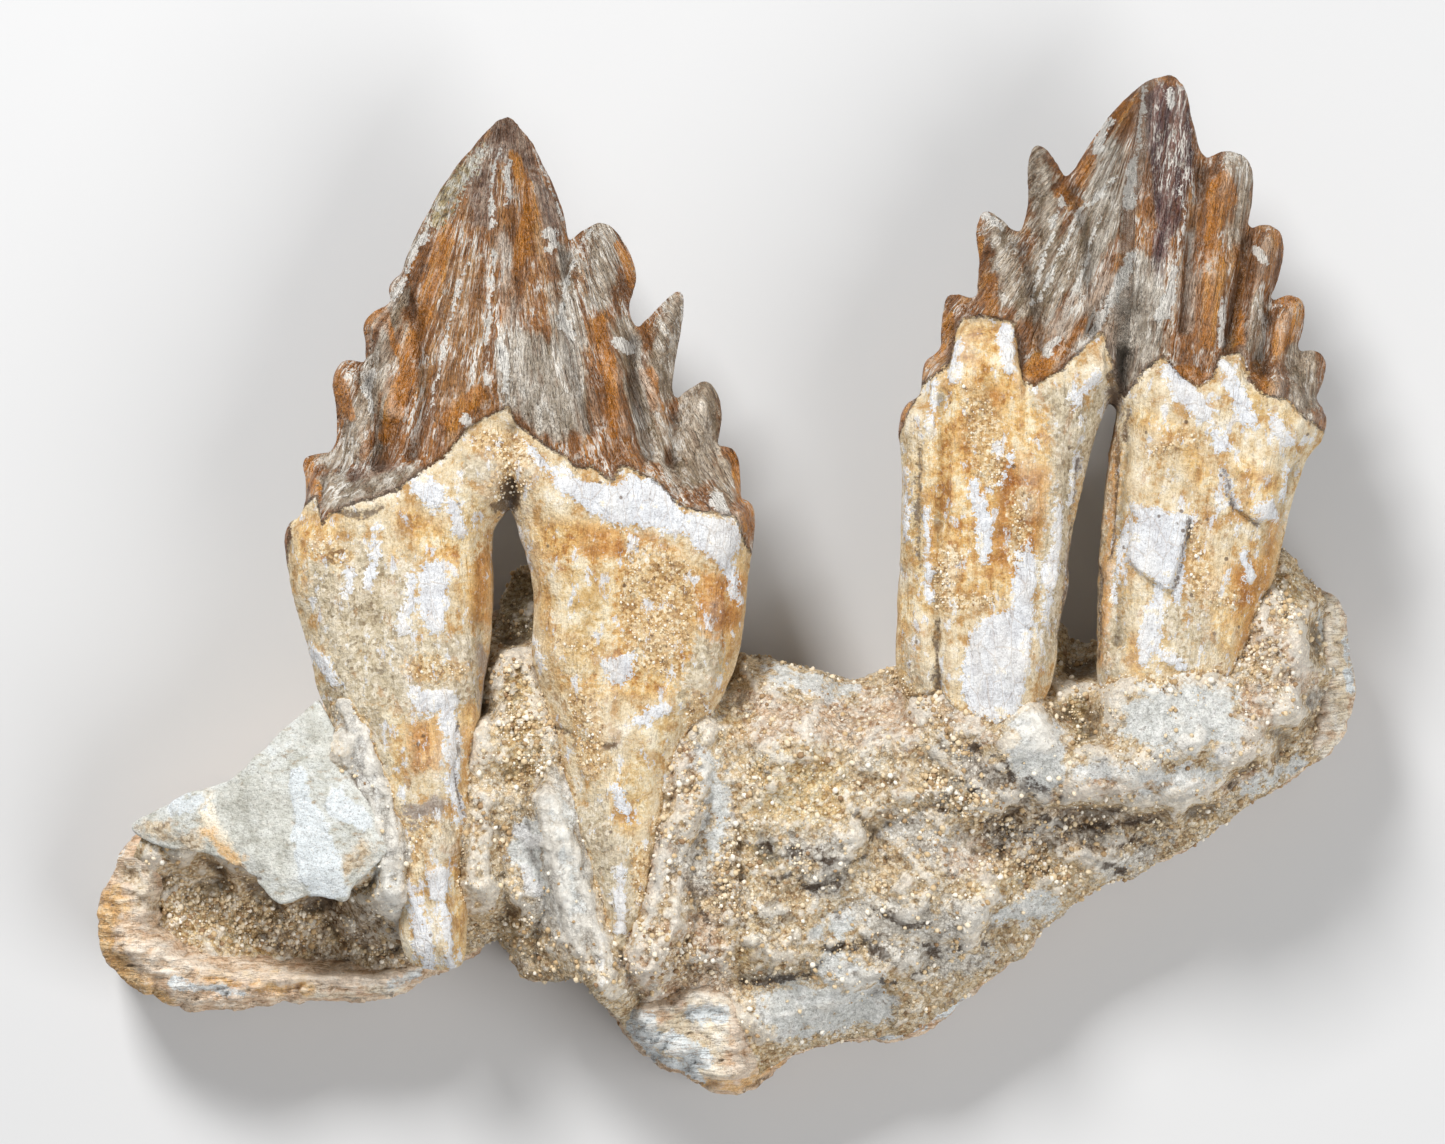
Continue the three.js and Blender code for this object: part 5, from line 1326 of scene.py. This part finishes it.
def lines_relief(points, ridges, grooves):
    """Ridges and grooves that run along named lines, in millimetres."""
    relief = np.zeros(len(points))
    for line in ridges:
        relief += RIDGE_HEIGHT * np.exp(-(line_distance(points, line) / RIDGE_WIDTH) ** 2)
    for line in grooves:
        relief -= GROOVE_DEPTH * np.exp(-(line_distance(points, line) / GROOVE_WIDTH) ** 2)
    return relief


def fan_across(points, pixel):
    """A coordinate that is the same all along each ray from a place above the cusp."""
    offset = points - to_mm(pixel)
    return np.arctan2(offset[:, 0], np.maximum(-offset[:, 1], 5)) * FAN_RADIUS


def left_crown_across(points):
    return fan_across(points, LEFT_FAN)


def right_crown_across(points):
    """Streaks fan out left of the keel, and run side by side right of it."""
    keel = to_mm(RIGHT_KEEL)
    keel_at = np.interp(-points[:, 1], -keel[:, 1], keel[:, 0])
    beside = points[:, 0] - RIGHT_STREAK_LEAN * (points[:, 1] - keel[0, 1])
    share = smoothstep(-1.5, 1.5, points[:, 0] - keel_at)
    return fan_across(points, RIGHT_FAN) * (1 - share) + beside * share


def root_across(points, axes, gap):
    """Distance across each root from its axis, so that fibres run along the roots."""
    sides = []
    for axis in axes:
        top, bottom = to_mm(axis)
        along = (bottom - top) / np.linalg.norm(bottom - top)
        offset = points - top
        sides.append(offset[:, 0] * -along[1] + offset[:, 1] * along[0] + top[0])
    middle = to_mm(gap)
    share = smoothstep(-3, 3, points[:, 0] - np.interp(-points[:, 1], -middle[:, 1], middle[:, 0]))
    return sides[0] * (1 - share) + sides[1] * share


def make_tooth(tooth, material, settings):
    """One tooth with its folds, flakes, step and crust. Returns where its grains may lie."""
    field = Field(tooth["outline"], settings.facet, 0.12, 201)
    half = tooth_half_thickness(field.points, field.depth, tooth["line"], tooth["root_end"])
    lines = lines_relief(field.points, tooth["ridges"], tooth["grooves"])
    face = TOOTH_MIDDLE_HEIGHT + half + lines * np.minimum(field.depth / 3.5, 1)
    slab = slab_mesh(tooth["name"], field, face, back=TOOTH_MIDDLE_HEIGHT - half)
    mesh = remeshed(slab, tooth["name"], settings.facet)
    places, normals = corners_of(mesh)
    flat = places[:, :2]
    depth = field.sample(field.depth, flat)
    enamel = enamel_depth(flat, tooth["line"])
    crown = smoothstep(-0.5, 0.5, enamel)
    facing = smoothstep(-0.2, 0.3, normals[:, 2])

    across = np.where(enamel > 0, tooth["crown_across"](flat), root_across(flat, tooth["axes"], tooth["gap"]))
    flow = np.column_stack((across, flat[:, 1], places[:, 2] * 0.5))
    folds = noise_layer("enamel folds", flow) - np.abs(noise_layer("enamel creases", flow))
    fibres = noise_layer("root fibres", flow) + noise_layer("fine fibres", flow)
    masks = masks_for(flat, tooth["patches"], PATCH_NAMES["tooth"])

    # Sand clings to the roots where they come out of the matrix
    matrix, matrix_face, _ = matrix_surface(bpy.context.scene.fossil_rock.matrix_facet)
    buried = matrix.sample(matrix_face * (matrix.depth > 0), flat) - places[:, 2]
    contact = np.clip(buried + SAND_REACH + noise_layer("sand contact", places), -PATCH_REACH, 1.5)
    masks["sandy"] = np.where(enamel < 0, np.maximum(masks["sandy"], contact), masks["sandy"])
    crusty = smoothstep(-0.6, 0.8, np.maximum(masks["sandy"], masks["tan"] - 0.5))
    flaked = smoothstep(-0.15, 0.25, masks["white"] + noise_layer("flake rims", flow))
    cracked = smoothstep(-0.5, 0.3, masks["dirt"])
    crumbs = crusty * (CLINGING_SAND_HEIGHT + np.abs(noise_layer("sand crumbs", places)))
    on_root = fibres + crumbs + WHITE_FLAKE_HEIGHT * flaked * facing \
        + noise_layer("root swellings", places) - ROOT_CRACK_DEPTH * cracked
    on_crown = folds + ENAMEL_STEP * facing + CHALK_HEIGHT * smoothstep(-0.2, 0.2, masks["chalk"]) \
        + CRUST_HEIGHT * smoothstep(-0.3, 0.4, masks["crust"]) * (1 + noise_layer("enamel crust", places))
    move = (crown * on_crown + (1 - crown) * on_root) * np.minimum(depth / 2 + 0.25, 1)
    places += normals * move[:, None]
    for corners, height in tooth["flakes"]:
        inside = inside_ring(flat, to_mm(corners))
        edge = line_distance(flat, corners + corners[:1])
        places[:, 2] += facing * np.where(inside, height * smoothstep(-0.1, 0.5, edge), 0)
    if tooth["step"]:
        inside = inside_ring(flat, to_mm(tooth["step"]))
        edge = line_distance(flat, tooth["step"] + tooth["step"][:1])
        places[:, 2] -= facing * np.where(inside, STEP_DROP * smoothstep(0, 0.9, edge), 0)
    move_corners(mesh, places)
    # This relief is what the finish turns into painted shade and a painted highlight
    hollow = field.sample(field.proud(face), flat) * 0.8
    paint(mesh, enamel=np.clip(enamel, -PATCH_REACH, PATCH_REACH), flow=flow * METRES,
          relief=(hollow + move * 0.8 - 0.25 * crown), **masks)
    mesh = thinned(mesh, tooth["name"], TOOTH_TRIANGLES)
    add_piece(tooth["name"], mesh, material, "tooth", tooth["node"])
    chance = smoothstep(0.0, 1.0, masks["sandy"]) * (enamel < 0) * (normals[:, 2] > -0.1)
    return places, normals, chance * (depth > 0.3)


def make_plate(material, settings):
    """The smooth remnant of the outer jaw wall."""
    field = Field(PLATE_OUTLINE, settings.fine_facet, 0.3, 203)
    left, right = to_mm(PLATE_TIP)[0], to_mm(PLATE_ROOT)[0]
    share = np.clip((field.points[:, 0] - left) / (right - left), 0, 1)
    middle = PLATE_TIP_HEIGHT + (PLATE_ROOT_HEIGHT - PLATE_TIP_HEIGHT) * np.sin(share * math.pi / 2)
    half = PLATE_THICKNESS / 2 * (PLATE_EDGE_SHARE + (1 - PLATE_EDGE_SHARE)
                                  * np.minimum(field.depth / PLATE_ROUNDING_WIDTH, 1))
    face = middle + half + noise_layer("plate waves", field.points)
    slab = slab_mesh("wall_plate", field, face, back=middle - half - PLATE_BACK_DROP)
    mesh = remeshed(slab, "wall_plate", settings.fine_facet)
    places, normals = corners_of(mesh)
    flat = places[:, :2]
    masks = masks_for(flat, PLATE_PATCHES, PATCH_NAMES["bone"])
    move = noise_layer("plate grain", places) \
        + PLATE_FLAKE_HEIGHT * smoothstep(-0.2, 0.3, masks["white"]) \
        - PLATE_CRACK_DEPTH * smoothstep(-0.5, 0.3, masks["dirt"]) \
        + PLATE_CRUST_HEIGHT * smoothstep(0, 1, masks["tan"]) * noise_layer("plate crust", places)
    places += normals * move[:, None]
    move_corners(mesh, places)
    # The relief, sunk in cracks and raised on flakes, becomes painted shade and a painted highlight in the
    # finish
    paint(mesh, relief=move * 0.9 - 0.1, **masks)
    add_piece("wall_plate", mesh, material, "smooth_bone", "bone_plate")


def eased(loop, reach):
    """A closed loop, each point of it averaged with its neighbours up to some places away."""
    return sum(np.roll(loop, shift, axis=0) for shift in range(-reach, reach + 1)) / (2 * reach + 1)


def broken_wall(drop_to, bevel_width, bevel_height, seed):
    """Side rows of a slab, uneven as broken rock, down to a bevel at the back."""
    def rows(flat, top, share):
        soft = eased(eased(flat, 7), 7)
        edge = np.roll(soft, -2, axis=0) - np.roll(soft, 2, axis=0)
        edge /= np.maximum(np.linalg.norm(edge, axis=1, keepdims=True), 1e-9)
        outward = np.column_stack((edge[:, 1], -edge[:, 0]))
        height = top + (drop_to + bevel_height - top) * min(share / BEVEL_START, 1)
        bevelled = max(share - BEVEL_START, 0) / (1 - BEVEL_START)
        if bevelled > 0:
            height = drop_to + bevel_height * (1 - bevelled)
        place = np.column_stack((flat, np.broadcast_to(height, len(flat))))
        ragged = WALL_RAGGEDNESS * rough(place, WALL_LUMPS, 3, seed) * math.sin(math.pi * share)
        base = flat + (soft - flat) * smoothstep(0, 0.6, share)
        moved = base + outward * (ragged - bevel_width * bevelled)[:, None]
        return np.column_stack((moved, place[:, 2]))
    return rows


def make_jaw(material, settings):
    """The fibrous jaw bone at the back, with its raised margins."""
    field = Field(JAW_OUTLINE, settings.rock_facet, 0.7, 205)
    rise = np.minimum(field.depth / JAW_ROUNDING_WIDTH, 1) ** JAW_ROUNDING
    plain = JAW_EDGE_HEIGHT + (JAW_WALL_THICKNESS - JAW_EDGE_HEIGHT) * rise
    height = plain
    for line, top in JAW_MARGINS:
        widths = np.array([corner[2] for corner in line], float)
        depth = stroke_depth(field.points, to_mm([corner[:2] for corner in line]), widths)
        near = smoothstep(0, JAW_MARGIN_CREST_SHARE * widths.mean(), depth)
        rounded = JAW_EDGE_HEIGHT + (top - JAW_EDGE_HEIGHT) * (JAW_MARGIN_FOOT_SHARE
                                                              + (1 - JAW_MARGIN_FOOT_SHARE) * rise)
        height = np.maximum(height, plain + (rounded - plain) * near)
    layers = noise_layer("jaw layers", field.points) + noise_layer("jaw waves", field.points)
    pits = noise_layer("jaw pits", field.points) + JAW_PEBBLE_HEIGHT * pebbles(field.points, 1.9, 88) \
        - np.abs(noise_layer("jaw cracks", field.points))
    height = height + (layers + pits) * np.minimum(field.depth / 2, 1)
    wall = broken_wall(0.0, BACK_BEVEL_WIDTH, BACK_BEVEL_HEIGHT, 87)
    mesh = slab_mesh("jaw_wall", field, height, wall=wall)
    places, normals = corners_of(mesh)
    flat = places[:, :2]
    face_share = smoothstep(-2, 0.5, places[:, 2] - field.sample(height, flat))
    side = noise_layer("jaw side", places)
    # The relief becomes painted shade and a painted highlight in the finish
    relief = field.sample(field.proud(height), flat) * face_share + side * (1 - face_share)
    steep = smoothstep(0.3, 0.05, normals[:, 2])
    masks = masks_for(flat, JAW_PATCHES, PATCH_NAMES["bone"])
    paint(mesh, relief=relief, **{name: values - PATCH_REACH * steep for name, values in masks.items()})
    add_piece("jaw_wall", mesh, material, "fibrous_bone", "jaw_bone")


@functools.lru_cache
def matrix_surface(cell):
    """The grid of the matrix face, its heights, and its masks."""
    field = Field(MATRIX_OUTLINE, cell, 0.5, 207)
    points = field.points
    shift = np.column_stack([noise_layer("level shift " + way, points) for way in ("across", "up")])
    level = level_heights(points + shift * LEVEL_SHIFT)
    rounded = np.minimum(field.depth / MATRIX_ROUNDING_WIDTH, 1) ** ROCK_ROUNDING
    rise = MATRIX_EDGE_SHARE + (1 - MATRIX_EDGE_SHARE) * rounded
    height = MATRIX_BACK_HEIGHT + (level - MATRIX_BACK_HEIGHT) * rise
    for strokes, hug_height in zip((LEFT_TOOTH_OUTLINE, RIGHT_TOOTH_OUTLINE), HUG_HEIGHTS):
        ring = ring_from(strokes)
        gap = nearest_on_segments(points, ring, np.roll(ring, -1, axis=0))[0]
        hug = (hug_height + noise_layer("root collar", points)) * np.exp(-(gap / HUG_WIDTH) ** 2)
        height += hug * smoothstep(34, 40, height)
    for stroke, top in MATRIX_BANKS:
        corners = to_mm([corner[:2] for corner in stroke])
        depth = stroke_depth(points, corners, np.array([corner[2] for corner in stroke]) * MM_PER_PIXEL)
        slope = top + BANK_SLOPE * np.minimum(depth, 0)
        height = np.maximum(height, slope + noise_layer("bank lumps", points))
    masks = masks_for(points, MATRIX_PATCHES, PATCH_NAMES["matrix"])
    calm = smoothstep(-1, 1, np.maximum(masks["pale"], np.maximum(masks["flow"], masks["grey"] - 1.5)))
    craggy = 1 - 0.6 * calm
    coarse = smoothstep(-0.5, 1.0, masks["coarse"])
    steps = noise_layer("ledges", points) * 3
    ledges = np.floor(steps) / 3 + smoothstep(0.7, 1.0, steps % 1.0) / 3
    rock = noise_layer("boulders", points) + ledges + noise_layer("rock crumbs", points)
    grains = pebbles(points, 1.3, 96) * (0.45 + 0.5 * coarse) + pebbles(points, 2.7, 97) * 0.6 * coarse
    crack = np.exp(-(line_distance(points, DIAGONAL_CRACK) / DIAGONAL_CRACK_WIDTH) ** 2)
    seam = np.exp(-(line_distance(points, MATRIX_SEAM) / SEAM_WIDTH) ** 2)
    chips = CHIP_HEIGHT * smoothstep(-0.15, 0.3, masks["white"])
    strands = noise_layer("strands", points) * smoothstep(-1, 1, masks["flow"])
    uneven = 0.6 + np.abs(noise_layer("hollows", points))
    pits = HOLLOW_DEPTH * smoothstep(-0.5, 1.5, masks["dark"]) * uneven
    fine = rock * craggy + grains * craggy + chips + strands - pits \
        - DIAGONAL_CRACK_DEPTH * crack - SEAM_DEPTH * seam
    height = height + fine * np.minimum(field.depth / 2.5, 1)
    return field, height, masks


def make_matrix(material, settings):
    """The sandy matrix around and between the roots. Returns where its grains may lie."""
    field, height, masks = matrix_surface(settings.matrix_facet)
    wall = broken_wall(MATRIX_BACK_HEIGHT, 0.0, 0.0, 98)
    mesh = slab_mesh("sand_matrix", field, height, wall=wall)
    places, normals = corners_of(mesh)
    crumbs = noise_layer("edge crumbs", places)
    flat = places[:, :2].copy()
    inner = field.sample(field.depth, flat) > 0.6
    places[:, :2] += normals[:, :2] * (crumbs * inner)[:, None]
    move_corners(mesh, places)
    face_share = smoothstep(-2, 0.5, places[:, 2] - field.sample(height, flat))
    side = noise_layer("rock side", places)
    # The relief becomes painted shade and a painted highlight in the finish
    relief = field.sample(field.proud(height), flat) * face_share + side * (1 - face_share)
    steep = smoothstep(0.5, 0.2, normals[:, 2])
    sampled = {name: field.sample(values, flat) - PATCH_REACH * steep for name, values in masks.items()}
    paint(mesh, relief=relief, **sampled)
    add_piece("sand_matrix", mesh, material, "sandy_matrix", "matrix")
    calm = smoothstep(-0.5, 1.0, np.maximum(sampled["pale"], sampled["flow"]))
    chance = (0.22 + smoothstep(0, 1.5, sampled["coarse"])) * (1 - 0.85 * calm)
    patchy = smoothstep(-0.25, 0.4, noise_layer("grain drifts", places))
    return places, normals, chance * (0.3 + patchy) * (places[:, 2] > MATRIX_BACK_HEIGHT + 2)


def icosahedron():
    """Corners and outward faces of a regular solid of twenty faces."""
    golden = (1 + math.sqrt(5)) / 2
    corners = np.array([np.roll((0, first, second * golden), turn)
                        for turn in range(3) for first in (-1, 1) for second in (-1, 1)])
    faces = []
    for trio in itertools.combinations(range(12), 3):
        a, b, c = corners[list(trio)]
        if max(np.linalg.norm(a - b), np.linalg.norm(b - c), np.linalg.norm(c - a)) < 2.1:
            faces.append(trio if np.dot(np.cross(b - a, c - a), a) > 0 else trio[::-1])
    return corners / np.linalg.norm(corners[0]), np.array(faces)


def strewn_grains(name, carriers, counts, settings, largest, seed):
    """Angular sand grains half sunk in their carriers, as one mesh."""
    draw = np.random.default_rng(seed)
    corners, faces = icosahedron()
    spots, ways = [], []
    for (places, normals, chance), count in zip(carriers, counts):
        picked = draw.choice(len(places), count, replace=False, p=chance / chance.sum())
        spots.append(places[picked])
        ways.append(normals[picked])
    spots, ways = np.vstack(spots), np.vstack(ways)
    count = len(spots)
    radius = settings.grain_small + (largest - settings.grain_small) * draw.random(count) ** 3
    shape = draw.uniform(0.7, 1.2, (count, 1, 3)) * draw.uniform(0.82, 1.15, (count, len(corners), 1))
    spin = draw.normal(size=(count, 4))
    spin /= np.linalg.norm(spin, axis=1, keepdims=True)
    w, x, y, z = spin.T
    turn = np.stack((
        1 - 2 * (y * y + z * z), 2 * (x * y - w * z), 2 * (x * z + w * y),
        2 * (x * y + w * z), 1 - 2 * (x * x + z * z), 2 * (y * z - w * x),
        2 * (x * z - w * y), 2 * (y * z + w * x), 1 - 2 * (x * x + y * y)), axis=1).reshape(-1, 3, 3)
    solid = np.einsum("nij,nkj->nki", turn, corners * shape * radius[:, None, None])
    solid += (spots + ways * radius[:, None] * GRAIN_RISE_SHARE)[:, None]
    ids = (faces[None] + len(corners) * np.arange(count)[:, None, None]).reshape(-1, 3)
    mesh = new_mesh(name, solid.reshape(-1, 3), ids.tolist())
    paint(mesh, tone=np.repeat(draw.random(count), len(corners)))
    add_piece(name, mesh, grain_material(), "sandy_matrix")


TEETH = (
    {
        "name": "left_tooth", "node": "tooth_left", "outline": LEFT_TOOTH_OUTLINE,
        "ridges": LEFT_TOOTH_RIDGES, "grooves": LEFT_TOOTH_GROOVES, "line": LEFT_ENAMEL_LINE,
        "root_end": LEFT_ROOT_END, "patches": LEFT_TOOTH_PATCHES, "crown_across": left_crown_across,
        "axes": LEFT_TOOTH_AXES, "gap": LEFT_GAP, "flakes": [], "step": [],
    },
    {
        "name": "right_tooth", "node": "tooth_right", "outline": RIGHT_TOOTH_OUTLINE,
        "ridges": RIGHT_TOOTH_RIDGES, "grooves": RIGHT_TOOTH_GROOVES, "line": RIGHT_ENAMEL_LINE,
        "root_end": RIGHT_ROOT_END, "patches": RIGHT_TOOTH_PATCHES, "crown_across": right_crown_across,
        "axes": RIGHT_TOOTH_AXES, "gap": RIGHT_GAP, "flakes": ROOT_FLAKES, "step": ROOT_STEP,
    },
)


def colour_setting(name, description, screen_colour):
    """A colour in the sidebar, with its default given as a screen colour."""
    return bpy.props.FloatVectorProperty(
        name=name, description=description, default=linear(screen_colour), subtype="COLOR", min=0, max=1)


class ToothSettings(bpy.types.PropertyGroup):
    facet: bpy.props.FloatProperty(
        name="Facet", description="Edge length of the finest faces in millimetres", default=0.46,
        min=0.3, max=3)
    grains: bpy.props.IntProperty(
        name="Grains", description="Number of sand grains on each tooth", default=1800, min=1)
    largest: bpy.props.FloatProperty(
        name="Largest Grain", description="Radius of the largest grain on the roots in millimetres",
        default=0.42, min=0.1, max=2)
    brown: colour_setting("Enamel Brown", "Main colour of the enamel", "#905a24")
    patina: colour_setting("Patina", "Grey film over the enamel", "#9a8d79")
    amber: colour_setting("Amber", "Glossy orange edges", "#b57120")
    root: colour_setting("Root Cream", "Main colour of the roots", "#d8c29b")
    ochre: colour_setting("Root Ochre", "Iron stains on the roots", "#d4a45e")


class RockSettings(bpy.types.PropertyGroup):
    matrix_facet: bpy.props.FloatProperty(
        name="Matrix Facet", description="Edge length of the matrix's faces in millimetres", default=0.5,
        min=0.3, max=4)
    rock_facet: bpy.props.FloatProperty(
        name="Bone Facet", description="Edge length of the jaw bone's faces in millimetres", default=0.6,
        min=0.3, max=4)
    fine_facet: bpy.props.FloatProperty(
        name="Plate Facet", description="Edge length of the plate's faces in millimetres", default=0.42,
        min=0.3, max=4)
    grains: bpy.props.IntProperty(
        name="Grains", description="Number of sand grains on the matrix", default=9000, min=1)
    grain_small: bpy.props.FloatProperty(
        name="Smallest Grain", description="Radius of the smallest grain in millimetres", default=0.18,
        min=0.1, max=2)
    grain_large: bpy.props.FloatProperty(
        name="Largest Grain", description="Radius of the largest grain in millimetres", default=0.72,
        min=0.1, max=4)
    sand: colour_setting("Sand", "Main colour of the sandy matrix", "#d9bf96")
    cement: colour_setting("Cement", "Colour of the grey cement", "#dcdfdc")


class StageSettings(bpy.types.PropertyGroup):
    floor: bpy.props.FloatProperty(
        name="Floor Brightness", description="Grey of the floor", default=0.62, min=0, max=1,
        subtype="FACTOR")
    key: bpy.props.FloatProperty(
        name="Key Light", description="Power of the main light in watts", default=19.4, min=0,
        unit="POWER")
    fill: bpy.props.FloatProperty(
        name="Fill Light", description="Power of the fill light in watts", default=11.5, min=0,
        unit="POWER")
    sky: bpy.props.FloatProperty(
        name="Sky", description="Strength of the light from all around", default=0.25, min=0)


class FOSSIL_OT_teeth(bpy.types.Operator):
    """Makes both cheek teeth with their wrinkled crowns, stained roots and clinging grains"""
    bl_idname = "fossil.teeth"
    bl_label = "Cheek Teeth"

    def execute(self, context):
        settings = context.scene.fossil_teeth
        material = tooth_material(settings)
        carriers = [make_tooth(tooth, material, settings) for tooth in TEETH]
        rock = context.scene.fossil_rock
        strewn_grains("root_grains", carriers, [settings.grains] * len(carriers), rock, settings.largest, 7)
        return {"FINISHED"}


class FOSSIL_OT_bone(bpy.types.Operator):
    """Makes the smooth bone plate and the fibrous jaw bone at the back"""
    bl_idname = "fossil.bone"
    bl_label = "Jaw Bone"

    def execute(self, context):
        settings = context.scene.fossil_rock
        make_plate(bone_material("plate_finish", 0.5, 1.0, 0.15, "#bab9ad", "#d2d3cc", "#e1e4e1"), settings)
        make_jaw(bone_material("jaw_finish", 0.25, 1.4, 1.0, "#cca684", "#ecd2b4", "#f9eddd"), settings)
        return {"FINISHED"}


class FOSSIL_OT_matrix(bpy.types.Operator):
    """Makes the sandy matrix with its loose grains"""
    bl_idname = "fossil.matrix"
    bl_label = "Sandy Matrix"

    def execute(self, context):
        settings = context.scene.fossil_rock
        carrier = make_matrix(matrix_material(settings), settings)
        strewn_grains("matrix_grains", [carrier], [settings.grains], settings, settings.grain_large, 8)
        return {"FINISHED"}


class FOSSIL_OT_stage(bpy.types.Operator):
    """Makes the floor, the lights and the camera"""
    bl_idname = "fossil.stage"
    bl_label = "Stage"

    def execute(self, context):
        settings = context.scene.fossil_stage
        make_floor(settings)
        make_lights(settings)
        make_camera()
        return {"FINISHED"}


def make_floor(settings):
    """A plain pale floor under the fossil."""
    corners = FLOOR_REACH * np.array([(-1, -1, 0), (1, -1, 0), (1, 1, 0), (-1, 1, 0)])
    mesh = new_mesh("floor", corners, [(0, 1, 2, 3)])
    floor = bpy.data.objects.new("floor", mesh)
    bpy.context.scene.collection.objects.link(floor)
    shader = Shader("floor_finish")
    shader.surface.inputs["Base Color"].default_value = (settings.floor, settings.floor, settings.floor, 1)
    shader.surface.inputs["Roughness"].default_value = 0.9
    mesh.materials.append(shader.material)


def make_lights(settings):
    """A key light from above the left crown, a wide fill from below right and an even sky."""
    for name, place, size, power in (
        ("key_light", (-0.45, 0.85, 0.95), 0.38, settings.key),
        ("fill_light", (0.75, -0.5, 1.0), 0.9, settings.fill),
    ):
        light = bpy.data.lights.new(name, "AREA")
        light.size = size
        light.energy = power
        lamp = bpy.data.objects.new(name, light)
        lamp.location = place
        lamp.rotation_mode = "QUATERNION"
        lamp.rotation_quaternion = (Vector((0, 0, 0.03)) - Vector(place)).to_track_quat("-Z", "Y")
        bpy.context.scene.collection.objects.link(lamp)
    world = bpy.data.worlds.new("sky")
    world.use_nodes = True
    world.node_tree.nodes["Background"].inputs["Color"].default_value = (0.97, 0.98, 1.0, 1)
    world.node_tree.nodes["Background"].inputs["Strength"].default_value = settings.sky
    bpy.context.scene.world = world


def make_camera():
    """A long lens straight above, which frames the fossil as the photograph does."""
    width = PHOTO_SIZE[0] * MM_PER_PIXEL * METRES
    middle = to_mm((PHOTO_SIZE[0] / 2, PHOTO_SIZE[1] / 2)) * METRES
    camera = bpy.data.cameras.new("camera")
    camera.sensor_width = SENSOR_WIDTH
    camera.lens = LENS_LENGTH
    camera.clip_end = 20
    thing = bpy.data.objects.new("camera", camera)
    distance = width * LENS_LENGTH / SENSOR_WIDTH
    thing.location = (middle[0], middle[1], TOOTH_MIDDLE_HEIGHT * METRES + distance)
    bpy.context.scene.collection.objects.link(thing)
    bpy.context.scene.camera = thing
    bpy.context.scene.view_settings.view_transform = "Standard"


OPERATORS = (FOSSIL_OT_teeth, FOSSIL_OT_bone, FOSSIL_OT_matrix, FOSSIL_OT_stage)


class FOSSIL_PT_panel(bpy.types.Panel):
    """Lists the fossil's pieces in the sidebar"""
    bl_idname = "FOSSIL_PT_panel"
    bl_label = "Fossil Jaw"
    bl_space_type = "VIEW_3D"
    bl_region_type = "UI"
    bl_category = "Fossil"

    def draw(self, context):
        for operator in OPERATORS:
            self.layout.operator(operator.bl_idname)
        for group in (context.scene.fossil_teeth, context.scene.fossil_rock, context.scene.fossil_stage):
            for name in group.__annotations__:
                self.layout.prop(group, name)


CLASSES = (ToothSettings, RockSettings, StageSettings, *OPERATORS, FOSSIL_PT_panel)


def register():
    for item in CLASSES:
        bpy.utils.register_class(item)
    bpy.types.Scene.fossil_teeth = bpy.props.PointerProperty(type=ToothSettings)
    bpy.types.Scene.fossil_rock = bpy.props.PointerProperty(type=RockSettings)
    bpy.types.Scene.fossil_stage = bpy.props.PointerProperty(type=StageSettings)


def unregister():
    del bpy.types.Scene.fossil_teeth
    del bpy.types.Scene.fossil_rock
    del bpy.types.Scene.fossil_stage
    for item in reversed(CLASSES):
        bpy.utils.unregister_class(item)


def main():
    register()
    bpy.ops.fossil.stage()
    bpy.ops.fossil.matrix()
    bpy.ops.fossil.bone()
    bpy.ops.fossil.teeth()


if __name__ == "__main__":
    main()
